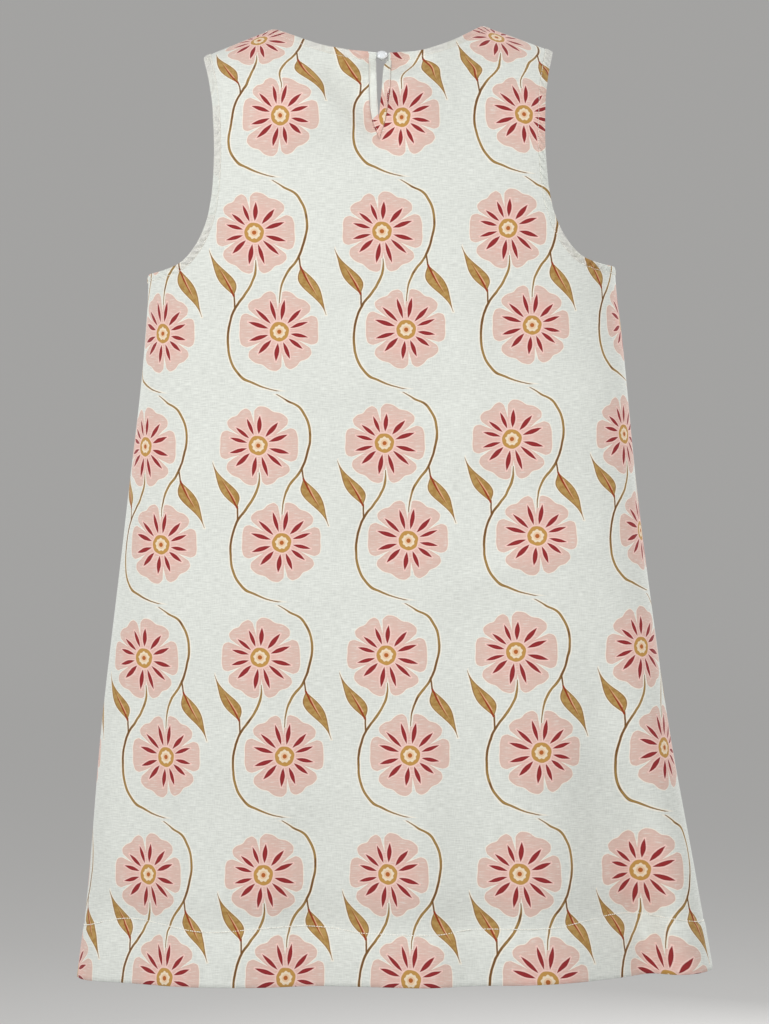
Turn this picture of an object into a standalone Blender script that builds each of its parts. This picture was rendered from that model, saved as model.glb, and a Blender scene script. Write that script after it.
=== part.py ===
"""A sleeveless a-line dress, filled out as it is worn: two panels, bound edges, a keyhole and its button.

Metres, +Z up. The wearer faces -Y, so the keyhole is at +Y, and the wearer's left is +X. The origin is
midway between the shoulders, level with the middle of the shoulder seams, where the wearer holds it up.
"""

import math
from collections import namedtuple

import bmesh
import bpy
import numpy as np

BACK, FRONT = 1, -1
LEFT, RIGHT = 1, -1

# Wall of the cloth, of a bound edge (four layers) and of the turned hem (three layers).
CLOTH = 0.0012
BOUND_EDGE = 0.0022
HEM_CLOTH = 0.0022
SEAM_GAP = 0.0003
BINDING_GAP = 0.0004

# Heights of the hem's edge, its turning and the underarm, and the two ends of the shoulder seam.
HEM_HEIGHT = -0.926
HEM_DEPTH = 0.052
UNDERARM_HEIGHT = -0.237
SHOULDER_TIP = 0.1667
SHOULDER_TIP_HEIGHT = -0.0090
NECK_POINT_HEIGHT = 0.0115
BINDING_WIDTH = 0.008

# The panels round over into the shoulder seam within this height, on a quarter of this power of an ellipse.
SHOULDER_ROUND = 0.10
SHOULDER_POWER = 2.0
NECK_SOFTNESS = 0.05

# The grid of a panel: columns from its middle to the neck point and on to its edge, with a few close to
# the neck point, where the cloth rounds over the shoulder, and rows in the hem, above it and above the
# underarm. ARMHOLE_SHARE is the share of the half width over which the yoke's rows follow the armhole, and
# YOKE_RISE is the power by which those rows gather at the underarm.
NECK_POINT = 0.1128
NECK_COLUMNS = 8
SIDE_COLUMNS = 9
CLOSE_COLUMNS = (-0.045, -0.012, 0.012, 0.045)
HEM_ROWS = 3
SKIRT_ROWS = 14
YOKE_ROWS = 16
YOKE_RISE = 1.5
ARMHOLE_SHARE = 0.31
ARMHOLE_SAMPLES = 400

# The step by which the cloth's slope is taken, and the depth under which a point counts as on a side seam.
SLOPE_STEP = 2e-5
ON_SEAM = 1e-6

# The body of the dress at each height: how far its middle hangs to the wearer's left, half its width, how
# far the middle of the back and of the front stand out from the side seams, and how squarely the cloth
# turns round to the wearer's left and right seam.
Section = namedtuple("Section", "height middle half_width back front left right")
SECTIONS = (
    Section(0.040, 0.0, 0.2320, 0.090, 0.080, 2.10, 2.10),
    Section(-0.050, 0.0, 0.2320, 0.094, 0.090, 2.10, 2.10),
    Section(-0.150, 0.0, 0.2320, 0.101, 0.108, 2.15, 2.15),
    Section(-0.237, 0.0, 0.2333, 0.101, 0.120, 2.20, 2.30),
    Section(-0.300, -0.0005, 0.2385, 0.100, 0.124, 2.25, 2.40),
    Section(-0.459, 0.0030, 0.2550, 0.102, 0.124, 2.40, 2.70),
    Section(-0.659, 0.0048, 0.2798, 0.108, 0.128, 2.50, 3.00),
    Section(-0.859, -0.0008, 0.3062, 0.115, 0.134, 2.50, 3.00),
    Section(-0.926, -0.0015, 0.3160, 0.117, 0.136, 2.50, 3.00),
)

# The armhole edge of the panels, from the underarm to the tip of the shoulder.
Armhole = namedtuple("Armhole", "height back front")
ARMHOLE = (
    Armhole(-0.2370, 0.2333, 0.2333),
    Armhole(-0.2364, 0.2230, 0.2225),
    Armhole(-0.2342, 0.2110, 0.2095),
    Armhole(-0.2290, 0.1965, 0.1940),
    Armhole(-0.2180, 0.1830, 0.1795),
    Armhole(-0.1990, 0.1700, 0.1655),
    Armhole(-0.1750, 0.1610, 0.1560),
    Armhole(-0.1450, 0.1562, 0.1510),
    Armhole(-0.1100, 0.1545, 0.1495),
    Armhole(-0.0700, 0.1558, 0.1525),
    Armhole(-0.0400, 0.1597, 0.1580),
    Armhole(SHOULDER_TIP_HEIGHT, SHOULDER_TIP, SHOULDER_TIP),
)

# The neck edge of each panel: how far it drops below the neck points, and how squarely on each hand.
NECK_DROP = {BACK: 0.0415, FRONT: 0.092}
NECK_POWER = {(BACK, LEFT): 1.85, (BACK, RIGHT): 2.5, (FRONT, LEFT): 2.5, (FRONT, RIGHT): 2.5}

# Soft folds of each panel: the place where they hang, as a share of the half width towards the wearer's
# left, how far they stand out, how wide they are, and the heights at which they start and are full.
Fold = namedtuple("Fold", "side place depth width start full")
FOLDS = (
    Fold(BACK, 0.86, -0.024, 0.150, -0.48, -0.72),
    Fold(BACK, 0.24, -0.013, 0.130, -0.50, -0.85),
    Fold(BACK, -0.10, 0.013, 0.120, -0.45, -0.85),
    Fold(BACK, -0.42, 0.008, 0.130, -0.50, -0.85),
    Fold(BACK, -0.74, -0.017, 0.130, -0.50, -0.85),
    Fold(BACK, -0.80, -0.022, 0.060, -0.70, -0.90),
    Fold(FRONT, -0.78, -0.020, 0.130, -0.45, -0.80),
    Fold(FRONT, -0.52, 0.013, 0.120, -0.40, -0.80),
    Fold(FRONT, -0.22, -0.012, 0.130, -0.50, -0.85),
    Fold(FRONT, 0.08, 0.010, 0.140, -0.55, -0.85),
    Fold(FRONT, 0.40, -0.015, 0.120, -0.42, -0.82),
    Fold(FRONT, 0.68, 0.012, 0.100, -0.48, -0.85),
    Fold(FRONT, 0.85, -0.018, 0.080, -0.55, -0.85),
)

# The keyhole, from the neck edge down to its point: the edge of the slit and the outer edge of its binding.
Slit = namedtuple("Slit", "x height outer_x outer_height")
SLIT_LEFT = (
    Slit(0.0020, -0.036, 0.0090, -0.036),
    Slit(0.0020, -0.057, 0.0091, -0.057),
    Slit(0.0012, -0.074, 0.0086, -0.074),
    Slit(0.0007, -0.082, 0.0065, -0.0885),
)
SLIT_POINT = Slit(0.0005, -0.0857, 0.0002, -0.1066)
SLIT_RIGHT = (
    Slit(-0.0050, -0.036, -0.0123, -0.036),
    Slit(-0.0028, -0.057, -0.0112, -0.057),
    Slit(-0.0009, -0.074, -0.0089, -0.0713),
    Slit(-0.0001, -0.081, -0.0056, -0.0885),
)
SLIT_TOP = {LEFT: (0.0021, 0.0091), RIGHT: (-0.0086, -0.0126)}

# The ends of the neck binding beside the button, and the least way from an end to its next section.
NECK_BINDING_ENDS = {LEFT: 0.0026, RIGHT: -0.0096}
END_ROOM = 0.002

# The button, tipped up between the ends of the neck binding. Its dome and underside run through
# BUTTON_ROUNDS, the angles up from its rim, to a shank.
BUTTON_CENTRE = (-0.0035, 0.0883, -0.0237)
BUTTON_TILT = math.radians(60)
BUTTON_RADIUS = 0.0055
BUTTON_HALF_THICKNESS = 0.0031
BUTTON_ROUNDS = (90, 68, 46, 24, 6, -12, -32, -52)
UNDERSIDE_SHARE = 0.9
SHANK_RADIUS = 0.0013
SHANK_LENGTH = 0.0058
BUTTON_SIDES = 20

# Threads: the one that sews the shank to the binding's left end, and the loop from its right end round the
# shank. END_SHARE is how far up an end of the binding they meet it. A drop is how far a thread lies below
# the button's centre, along the shank. The loop's strands end LOOP_SPREAD either side of their middle, and
# the outer one sags.
THREAD_RADIUS = 0.0005
THREAD_SIDES = 8
THREAD_GAP = 0.0003
END_GAP = 0.0006
END_SHARE = 0.2
SEWN_DROP = 0.0037
LOOP_DROP = 0.0049
LOOP_BEND = 0.0021
LOOP_SPREAD = 0.0008
LOOP_SAG = 0.0012
LOOP_STEPS = 8
STRAND_STEPS = 5

PRINTED_LINEN = (0.86, 0.84, 0.81, 1.0)
PLAIN_LINEN = (0.87, 0.87, 0.84, 1.0)
PEARL = (0.85, 0.87, 0.91, 1.0)
THREAD = (0.55, 0.54, 0.51, 1.0)
CLOTH_ROUGHNESS = 0.85
PEARL_ROUGHNESS = 0.25
THREAD_ROUGHNESS = 0.8
SHARP_ANGLE = math.radians(40)


def smooth(at, places, values):
    """A smooth curve through a table, which never swings past the table's values."""
    places = np.asarray(places, float)
    values = np.asarray(values, float)
    if places[0] > places[-1]:
        places, values = places[::-1], values[::-1]
    steps = np.diff(places)
    rises = np.diff(values) / steps
    products = rises[1:] * rises[:-1]
    sums = np.where(products > 0, rises[1:] + rises[:-1], 1.0)
    inner = np.where(products > 0, 2 * products / sums, 0.0)
    slopes = np.concatenate([rises[:1], inner, rises[-1:]])
    at = np.clip(at, places[0], places[-1])
    i = np.clip(np.searchsorted(places, at) - 1, 0, len(steps) - 1)
    t = (at - places[i]) / steps[i]
    start = values[i] * (1 + 2 * t) + slopes[i] * steps[i] * t
    end = values[i + 1] * (3 - 2 * t) - slopes[i + 1] * steps[i] * (1 - t)
    return start * (1 - t) ** 2 + end * t**2


def section(height, column):
    return smooth(height, [s.height for s in SECTIONS], [getattr(s, column) for s in SECTIONS])


def column_shares():
    """Places of the panel's columns, as shares of its half width, from the wearer's right to the left."""
    neck = math.asin(NECK_POINT / SHOULDER_TIP)
    angles = list(np.linspace(0, neck, NECK_COLUMNS + 1))
    angles += list(np.linspace(neck, math.pi / 2, SIDE_COLUMNS + 1)[1:])
    angles += [neck + close for close in CLOSE_COLUMNS]
    share = np.sin(np.sort(angles))
    return np.concatenate([-share[:0:-1], share])


def shoulder_line(x):
    """Height of the shoulder seam, carried on in a soft arch over the neck."""
    reach = np.sqrt(np.square(x) + NECK_SOFTNESS**2)
    tip = math.hypot(SHOULDER_TIP, NECK_SOFTNESS)
    neck = math.hypot(NECK_POINT, NECK_SOFTNESS)
    slope = (NECK_POINT_HEIGHT - SHOULDER_TIP_HEIGHT) / (tip - neck)
    return SHOULDER_TIP_HEIGHT + slope * (tip - reach)


def ease(t):
    t = np.clip(t, 0, 1)
    return t * t * (3 - 2 * t)


def depth(side, x, z):
    """How far the cloth of a side stands out from the plane of the side seams."""
    place = (x - section(z, "middle")) / section(z, "half_width")
    share = np.clip(np.abs(place), 0, 1)
    squareness = np.where(place > 0, section(z, "left"), section(z, "right"))
    across = (1 - share**squareness) ** (1 / squareness)
    below = np.clip((shoulder_line(x) - z) / SHOULDER_ROUND, 0, 1)
    over = (1 - (1 - below) ** SHOULDER_POWER) ** (1 / SHOULDER_POWER)
    full = section(z, "back" if side == BACK else "front")
    for fold in FOLDS:
        if fold.side == side:
            fall = ease((fold.start - z) / (fold.start - fold.full))
            full = full + fold.depth * fall * np.exp(-(((place - fold.place) / fold.width) ** 2))
    return full * across * over


def on_cloth(side, x, z, apart=0.0):
    """Points of the outer surface. apart is their least distance from the plane of the side seams."""
    x, z = np.broadcast_arrays(np.asarray(x, float), np.asarray(z, float))
    return np.stack([x, side * (apart + depth(side, x, z)), z], axis=-1)


def outward(side, x, z):
    """The direction out of the cloth, from two short steps towards the middle of the panel."""
    inward = np.where(np.asarray(x) > 0, -SLOPE_STEP, SLOPE_STEP)
    here = on_cloth(side, x, z)
    along = (on_cloth(side, x + inward, z) - here) / inward[..., None]
    down = on_cloth(side, x, z - SLOPE_STEP) - here
    out = np.cross(along, down) * side
    on_seam = depth(side, x, z) < ON_SEAM
    out[..., 1] = np.where(on_seam, 0, out[..., 1])
    return out / np.linalg.norm(out, axis=-1, keepdims=True)


def neck_line(side, x):
    """Height of a panel's neck edge."""
    share = np.clip(np.abs(x) / NECK_POINT, 0, 1)
    power = np.where(np.asarray(x) > 0, NECK_POWER[side, LEFT], NECK_POWER[side, RIGHT])
    return NECK_POINT_HEIGHT - NECK_DROP[side] * (1 - share**power)


def armhole_line(side):
    """x and z of the panel's edge at each row, at even steps along the cloth from underarm to shoulder."""
    heights = np.array([a.height for a in ARMHOLE])
    halves = np.array([a.back if side == BACK else a.front for a in ARMHOLE])
    travel = np.concatenate([[0], np.cumsum(np.hypot(np.diff(heights), np.diff(halves)))])
    fine = np.linspace(0, travel[-1], ARMHOLE_SAMPLES)
    x, z = smooth(fine, travel, halves), smooth(fine, travel, heights)
    along = np.linalg.norm(np.diff(on_cloth(side, x, z), axis=0), axis=1)
    along = np.concatenate([[0], np.cumsum(along)])
    even = np.linspace(0, along[-1], YOKE_ROWS + 1)
    return np.interp(even, along, x), np.interp(even, along, z)


def panel_grid(side):
    """x and z of a panel's points: a row for each height from the hem up, from the wearer's right."""
    share = column_shares()
    hem_top = HEM_HEIGHT + HEM_DEPTH
    skirt = list(np.linspace(HEM_HEIGHT, hem_top, HEM_ROWS))
    skirt += list(np.linspace(hem_top, UNDERARM_HEIGHT, SKIRT_ROWS + 1)[1:])
    xs = [section(z, "middle") + section(z, "half_width") * share for z in skirt]
    zs = [np.full_like(share, z) for z in skirt]
    tip_x = SHOULDER_TIP * share
    at_neck = np.abs(tip_x) < NECK_POINT
    tops = np.where(at_neck, neck_line(side, tip_x), shoulder_line(tip_x))
    edge_x, edge_z = armhole_line(side)
    edge_rise = (edge_z - UNDERARM_HEIGHT) / (SHOULDER_TIP_HEIGHT - UNDERARM_HEIGHT)
    near_edge = 1 - np.clip((1 - np.abs(share)) / ARMHOLE_SHARE, 0, 1) ** 2
    for row in range(1, YOKE_ROWS + 1):
        even = math.sin(math.pi / 2 * row / YOKE_ROWS) ** YOKE_RISE
        middle_x = edge_x[0] + (SHOULDER_TIP - edge_x[0]) * even
        xs.append(share * (middle_x + (edge_x[row] - middle_x) * near_edge))
        zs.append(UNDERARM_HEIGHT + (even + (edge_rise[row] - even) * near_edge) * (tops - UNDERARM_HEIGHT))
    return np.array(xs), np.array(zs)


def finish(name, colour, roughness):
    made = bpy.data.materials.new(name)
    made.use_nodes = True
    shader = made.node_tree.nodes["Principled BSDF"]
    shader.inputs["Base Color"].default_value = colour
    shader.inputs["Roughness"].default_value = roughness
    return made


def add_object(name, maker, material):
    """One named object from a bmesh, shaded smooth but for its sharp edges."""
    mesh = bpy.data.meshes.new(name)
    bmesh.ops.recalc_face_normals(maker, faces=maker.faces)
    maker.to_mesh(mesh)
    maker.free()
    mesh.materials.append(material)
    mesh.shade_smooth()
    mesh.set_sharp_from_angle(angle=SHARP_ANGLE)
    made = bpy.data.objects.new(name, mesh)
    bpy.context.scene.collection.objects.link(made)
    return made


def wall(name, outer, inner, material):
    """A closed wall between two grids of points."""
    maker = bmesh.new()
    rows, columns = outer.shape[:2]
    grids = [[[maker.verts.new(p) for p in row] for row in side] for side in (outer, inner)]
    for grid in grids:
        for low, high in zip(grid, grid[1:]):
            for i in range(columns - 1):
                maker.faces.new([low[i], low[i + 1], high[i + 1], high[i]])
    border = [(0, i) for i in range(columns)] + [(j, columns - 1) for j in range(1, rows)]
    border += [(rows - 1, i) for i in range(columns - 2, -1, -1)] + [(j, 0) for j in range(rows - 2, 0, -1)]
    for (j, i), (m, k) in zip(border, border[1:] + border[:1]):
        maker.faces.new([grids[0][j][i], grids[0][m][k], grids[1][m][k], grids[1][j][i]])
    return add_object(name, maker, material)


def band(name, rings, material, closed=False):
    """A solid through a row of cross-sections, which is a closed loop or has two flat ends."""
    maker = bmesh.new()
    made = [[maker.verts.new(p) for p in ring] for ring in rings]
    following = made[1:] + made[:1] if closed else made[1:]
    for ring, after in zip(made, following):
        for i in range(len(ring)):
            k = (i + 1) % len(ring)
            maker.faces.new([ring[i], ring[k], after[k], after[i]])
    if not closed:
        maker.faces.new(made[0])
        maker.faces.new(made[-1])
    return add_object(name, maker, material)


def turned(name, profile, centre, axis, sides, material):
    """A solid turned round an axis through its centre, from (radius, height) pairs between its two poles."""
    maker = bmesh.new()
    across = np.array([1.0, 0.0, 0.0])
    back = np.cross(axis, across)
    rings = []
    for radius, height in profile[1:-1]:
        angles = np.arange(sides) * 2 * math.pi / sides
        spokes = np.cos(angles)[:, None] * across + np.sin(angles)[:, None] * back
        rings.append([maker.verts.new(centre + axis * height + radius * s) for s in spokes])
    poles = [maker.verts.new(centre + axis * profile[end][1]) for end in (0, -1)]
    for i in range(sides):
        k = (i + 1) % sides
        maker.faces.new([poles[0], rings[0][i], rings[0][k]])
        maker.faces.new([poles[1], rings[-1][k], rings[-1][i]])
        for high, low in zip(rings, rings[1:]):
            maker.faces.new([high[i], high[k], low[k], low[i]])
    return add_object(name, maker, material)


def bound_edge_section(edge, away, out):
    """The section of a bound edge at one place: a flat band with a folded rim, just off the panel."""
    rise = (BOUND_EDGE - CLOTH) / 2
    sink = CLOTH + rise
    rim = BINDING_GAP + BINDING_WIDTH
    profile = (
        (BINDING_GAP, rise),
        (rim - BOUND_EDGE / 2, rise),
        (rim, (rise - sink) / 2),
        (rim - BOUND_EDGE / 2, -sink),
        (BINDING_GAP, -sink),
    )
    return [edge + away * along + out * up for along, up in profile]


def bound_edge_rings(edges, outs, loop, turn):
    """Sections along an edge. The way off the panel is square to the edge, within the cloth."""
    after, before = np.roll(edges, -1, axis=0), np.roll(edges, 1, axis=0)
    if not loop:
        after[-1], before[0] = edges[-1], edges[0]
    away = np.cross(outs, after - before) * turn
    away /= np.linalg.norm(away, axis=1, keepdims=True)
    return [bound_edge_section(*at) for at in zip(edges, away, outs)]


def make_panel(side, name):
    xs, zs = panel_grid(side)
    outer = on_cloth(side, xs, zs, SEAM_GAP / 2)
    hem_rows = np.arange(len(xs)) < HEM_ROWS
    walls = np.where(hem_rows, HEM_CLOTH, CLOTH)
    inner = outer - outward(side, xs, zs) * walls[:, None, None]
    return wall(name, outer, inner, finish(name, PRINTED_LINEN, CLOTH_ROUGHNESS))


def make_armhole_binding(name, hand):
    """A closed band round one armhole: up the back, over the shoulder and down the front."""
    column = -1 if hand == LEFT else 0
    edges, outs = [], []
    for side in (BACK, FRONT):
        xs, zs = panel_grid(side)
        x, z = xs[-YOKE_ROWS - 1 :, column], zs[-YOKE_ROWS - 1 :, column]
        if side == FRONT:
            x, z = x[-2:0:-1], z[-2:0:-1]
        edges.append(on_cloth(side, x, z))
        outs.append(outward(side, x, z))
    rings = bound_edge_rings(np.concatenate(edges), np.concatenate(outs), True, hand)
    return band(name, rings, finish(name, PRINTED_LINEN, CLOTH_ROUGHNESS), closed=True)


def make_neck_binding():
    """The band round the neck, from the left side of the slit round the front to its right side."""
    tip_x = SHOULDER_TIP * column_shares()
    back_x = tip_x[np.abs(tip_x) < NECK_POINT + SEAM_GAP]
    front_x = back_x[-2:0:-1]
    left, right = NECK_BINDING_ENDS[LEFT], NECK_BINDING_ENDS[RIGHT]
    stretches = (
        (BACK, np.concatenate([[left], back_x[back_x > left + END_ROOM]])),
        (FRONT, front_x),
        (BACK, np.concatenate([back_x[back_x < right - END_ROOM], [right]])),
    )
    edges = [on_cloth(side, x, neck_line(side, x)) for side, x in stretches]
    outs = [outward(side, x, neck_line(side, x)) for side, x in stretches]
    rings = bound_edge_rings(np.concatenate(edges), np.concatenate(outs), False, -1)
    return band("neck_binding", rings, finish("neck_binding", PLAIN_LINEN, CLOTH_ROUGHNESS))


def keyhole_stations():
    """Pairs of (x, z), the slit's edge and the binding's outer edge: down the left, round and up."""
    tops = {hand: [(x, float(neck_line(BACK, x))) for x in SLIT_TOP[hand]] for hand in (LEFT, RIGHT)}
    sides = {
        hand: [((s.x, s.height), (s.outer_x, s.outer_height)) for s in rows]
        for hand, rows in ((LEFT, SLIT_LEFT), (RIGHT, SLIT_RIGHT))
    }
    point = ((SLIT_POINT.x, SLIT_POINT.height), (SLIT_POINT.outer_x, SLIT_POINT.outer_height))
    return [tops[LEFT]] + sides[LEFT] + [point] + sides[RIGHT][::-1] + [tops[RIGHT]]


def make_keyhole_binding():
    """The strip that binds the slit, level with the panel but thicker."""
    rise = (BOUND_EDGE - CLOTH) / 2
    sink = rise - BOUND_EDGE
    rings = []
    for inner, outer in keyhole_stations():
        ring = []
        for (x, z), up in ((inner, rise), (outer, rise), (outer, sink), (inner, sink)):
            x, z = np.array(x), np.array(z)
            ring.append(on_cloth(BACK, x, z) + outward(BACK, x, z) * up)
        rings.append(ring)
    return band("keyhole_binding", rings, finish("keyhole_binding", PLAIN_LINEN, CLOTH_ROUGHNESS))


def cut_keyhole(panel):
    """Takes the keyhole and its binding out of the back, with a seam's gap all round."""
    clear_top, inner_side, outer_side = 0.05, 0.02, 0.15
    outline = [outer for inner, outer in keyhole_stations()]
    middle_x = SLIT_POINT.x
    outline = [(x + math.copysign(SEAM_GAP, x - middle_x), z) for x, z in outline]
    lowest = min(range(len(outline)), key=lambda i: outline[i][1])
    outline[lowest] = (SLIT_POINT.outer_x, SLIT_POINT.outer_height - 2 * SEAM_GAP)
    outline = [(outline[0][0], clear_top)] + outline + [(outline[-1][0], clear_top)]
    maker = bmesh.new()
    rings = [[maker.verts.new((x, y, z)) for x, z in outline] for y in (inner_side, outer_side)]
    for ring in rings:
        maker.faces.new(ring)
    for i in range(len(outline)):
        k = (i + 1) % len(outline)
        maker.faces.new([rings[0][i], rings[0][k], rings[1][k], rings[1][i]])
    cutter = add_object("keyhole_cutter", maker, panel.data.materials[0])
    cutter.hide_render = True
    cutter.display_type = "WIRE"
    cut = panel.modifiers.new("keyhole", "BOOLEAN")
    cut.operation = "DIFFERENCE"
    cut.object = cutter


def button_frame():
    """The way up the shank, the way across to the wearer's left, and the way square to both."""
    axis = np.array([0.0, math.cos(BUTTON_TILT), math.sin(BUTTON_TILT)])
    across = np.array([1.0, 0.0, 0.0])
    return axis, across, np.cross(axis, across)


def make_button():
    """A domed button on a short shank."""
    axis = button_frame()[0]
    rounds = [math.radians(a) for a in BUTTON_ROUNDS]
    profile = [(BUTTON_RADIUS * math.cos(a), BUTTON_HALF_THICKNESS * math.sin(a)) for a in rounds]
    under = -BUTTON_HALF_THICKNESS * UNDERSIDE_SHARE
    profile += [(SHANK_RADIUS, under), (SHANK_RADIUS, -SHANK_LENGTH), (0.0, -SHANK_LENGTH)]
    pearl = finish("button", PEARL, PEARL_ROUGHNESS)
    return turned("button", profile, np.array(BUTTON_CENTRE), axis, BUTTON_SIDES, pearl)


def make_thread(name, line, upright):
    """A round thread along a line of points."""
    rings = []
    for i, point in enumerate(line):
        ahead = line[min(i + 1, len(line) - 1)] - line[max(i - 1, 0)]
        side = np.cross(upright, ahead)
        side /= np.linalg.norm(side)
        up = np.cross(ahead, side)
        up /= np.linalg.norm(up)
        turns = [2 * math.pi * k / THREAD_SIDES for k in range(THREAD_SIDES)]
        rings.append([point + THREAD_RADIUS * (math.cos(t) * side + math.sin(t) * up) for t in turns])
    return band(name, rings, finish(name, THREAD, THREAD_ROUGHNESS))


def binding_end(hand, x):
    """The point where threads meet an end face of the neck binding, moved to x."""
    edge_x = np.array(NECK_BINDING_ENDS[hand])
    meet_z = neck_line(BACK, edge_x) + BINDING_GAP + BINDING_WIDTH * END_SHARE
    point = on_cloth(BACK, edge_x, meet_z) - outward(BACK, edge_x, meet_z) * CLOTH / 2
    return np.array([x, point[1], point[2]])


def make_button_thread():
    """The sewing thread from the shank to the left end of the neck binding."""
    axis, across = button_frame()[:2]
    foot = np.array(BUTTON_CENTRE) - axis * SEWN_DROP + across * (SHANK_RADIUS + THREAD_GAP)
    end = binding_end(LEFT, NECK_BINDING_ENDS[LEFT] - END_GAP)
    line = [foot + (end - foot) * t for t in np.linspace(0, 1, STRAND_STEPS)]
    return make_thread("button_thread", line, axis)


def make_button_loop():
    """A thread from the right end of the neck binding, round the shank and back."""
    axis, across, beside = button_frame()
    middle = np.array(BUTTON_CENTRE) - axis * LOOP_DROP
    end = binding_end(RIGHT, NECK_BINDING_ENDS[RIGHT] + END_GAP)
    bend = [math.pi / 2 - math.pi * i / LOOP_STEPS for i in range(LOOP_STEPS + 1)]
    outer_end = end + beside * LOOP_SPREAD
    inner_end = end - beside * LOOP_SPREAD
    line = [middle + LOOP_BEND * (math.cos(a) * across + math.sin(a) * beside) for a in bend]
    shares = np.linspace(0, 1, STRAND_STEPS + 1)[:-1]
    sag = np.array([0.0, 0.0, -LOOP_SAG])
    outer = [outer_end + (line[0] - outer_end) * t + sag * math.sin(math.pi * t) for t in shares]
    inner = [inner_end + (line[-1] - inner_end) * t for t in shares]
    return make_thread("button_loop", outer + line + inner[::-1], axis)


def clear_scene():
    for old in list(bpy.data.objects):
        bpy.data.objects.remove(old)


def main():
    clear_scene()
    cut_keyhole(make_panel(BACK, "back"))
    make_panel(FRONT, "front")
    make_armhole_binding("armhole_binding_left", LEFT)
    make_armhole_binding("armhole_binding_right", RIGHT)
    make_neck_binding()
    make_keyhole_binding()
    make_button()
    make_button_thread()
    make_button_loop()


main()
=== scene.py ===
# %% [markdown]
# # A sleeveless a-line dress
#
# The dress is light printed linen. A back and a front panel are sewn together at the shoulders and the
# sides, and narrow turned bands finish the neck and the armholes. The back opens in a keyhole slit with
# a small pearl button and a thread loop. The dress stands filled out, as if someone wore it.
#
# The frame is the plain solid model, in metres: Z is up, the wearer faces -Y, and the wearer's left
# is +X. This script dresses that frame with fine cloth, stitches and finishes.

# %% Load the frame
import math
from collections import namedtuple

import bmesh
import bpy
import numpy as np
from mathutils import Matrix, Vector


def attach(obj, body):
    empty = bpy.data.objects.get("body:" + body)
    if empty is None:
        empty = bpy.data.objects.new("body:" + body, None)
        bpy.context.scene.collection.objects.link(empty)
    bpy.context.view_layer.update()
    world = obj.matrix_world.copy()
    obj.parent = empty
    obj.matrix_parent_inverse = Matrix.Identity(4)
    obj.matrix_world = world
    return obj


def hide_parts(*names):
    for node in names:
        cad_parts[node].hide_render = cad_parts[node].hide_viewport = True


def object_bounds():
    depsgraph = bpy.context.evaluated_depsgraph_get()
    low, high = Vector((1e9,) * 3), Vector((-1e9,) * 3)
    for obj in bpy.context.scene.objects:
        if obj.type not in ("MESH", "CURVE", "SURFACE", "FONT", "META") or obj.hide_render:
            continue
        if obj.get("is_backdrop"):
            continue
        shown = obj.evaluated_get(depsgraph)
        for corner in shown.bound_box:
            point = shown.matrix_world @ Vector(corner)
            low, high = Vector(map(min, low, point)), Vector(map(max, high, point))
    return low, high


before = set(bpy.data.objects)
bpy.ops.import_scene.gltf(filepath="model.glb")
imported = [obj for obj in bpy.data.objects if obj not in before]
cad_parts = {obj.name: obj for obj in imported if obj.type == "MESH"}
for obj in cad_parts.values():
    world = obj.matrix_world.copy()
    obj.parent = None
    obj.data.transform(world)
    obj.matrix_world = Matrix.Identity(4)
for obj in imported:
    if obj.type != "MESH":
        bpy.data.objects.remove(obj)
cad_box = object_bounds()
print("frame:", len(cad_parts), "solids,", [round(b - a, 4) for a, b in zip(*cad_box)], "m")

# %% [markdown]
# ## The dress's form
#
# A worn dress is a tube that changes its section from the shoulders to the hem. A row of the table below
# is the section at one height: its half width, how far the back and the front stand out, and how square
# its left and right corners are. It repeats the solid model's own sizes, because the fine cloth has to
# lie where the solid cloth is. A subdivided box could be pushed into shape by hand instead, but a table
# of sections can be checked against a tape measure.

# %% Heights, widths and sections
BACK, FRONT = 1, -1
LEFT, RIGHT = 1, -1

HEM_HEIGHT = -0.926
UNDERARM_HEIGHT = -0.237
SHOULDER_TIP = 0.1667
SHOULDER_TIP_HEIGHT = -0.0090
NECK_POINT = 0.1128
NECK_POINT_HEIGHT = 0.0115
NECK_SOFTNESS = 0.05
SHOULDER_ROUND = 0.10
SHOULDER_POWER = 2.0
SEAM_GAP = 0.0003
BINDING_WIDTH = 0.008
BINDING_GAP = 0.0004


def table(columns, *rows):
    """A table of named columns."""
    row = namedtuple("Row", columns)
    return [row(*values) for values in rows]


SECTIONS = table(
    "height middle half_width back front left right",
    (0.040, 0.0000, 0.2320, 0.090, 0.080, 2.10, 2.10),
    (-0.050, 0.0000, 0.2320, 0.094, 0.090, 2.10, 2.10),
    (-0.150, 0.0000, 0.2320, 0.101, 0.108, 2.15, 2.15),
    (-0.237, 0.0000, 0.2333, 0.101, 0.120, 2.20, 2.30),
    (-0.300, -0.0005, 0.2385, 0.100, 0.124, 2.25, 2.40),
    (-0.459, 0.0030, 0.2550, 0.102, 0.124, 2.40, 2.70),
    (-0.659, 0.0048, 0.2798, 0.108, 0.128, 2.50, 3.00),
    (-0.859, -0.0008, 0.3062, 0.115, 0.134, 2.50, 3.00),
    (-0.926, -0.0015, 0.3160, 0.117, 0.136, 2.50, 3.00),
)

print("sections:", len(SECTIONS), "from", SECTIONS[0].height, "down to", SECTIONS[-1].height, "m")

# %% [markdown]
# The armhole curves in from the side seam and runs up to the shoulder, a little further in on the front
# than on the back, as on any pattern. The neck's edge is simpler: each half is a power curve from the
# middle to the neck point, and the front's drops more than twice as deep.

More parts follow.
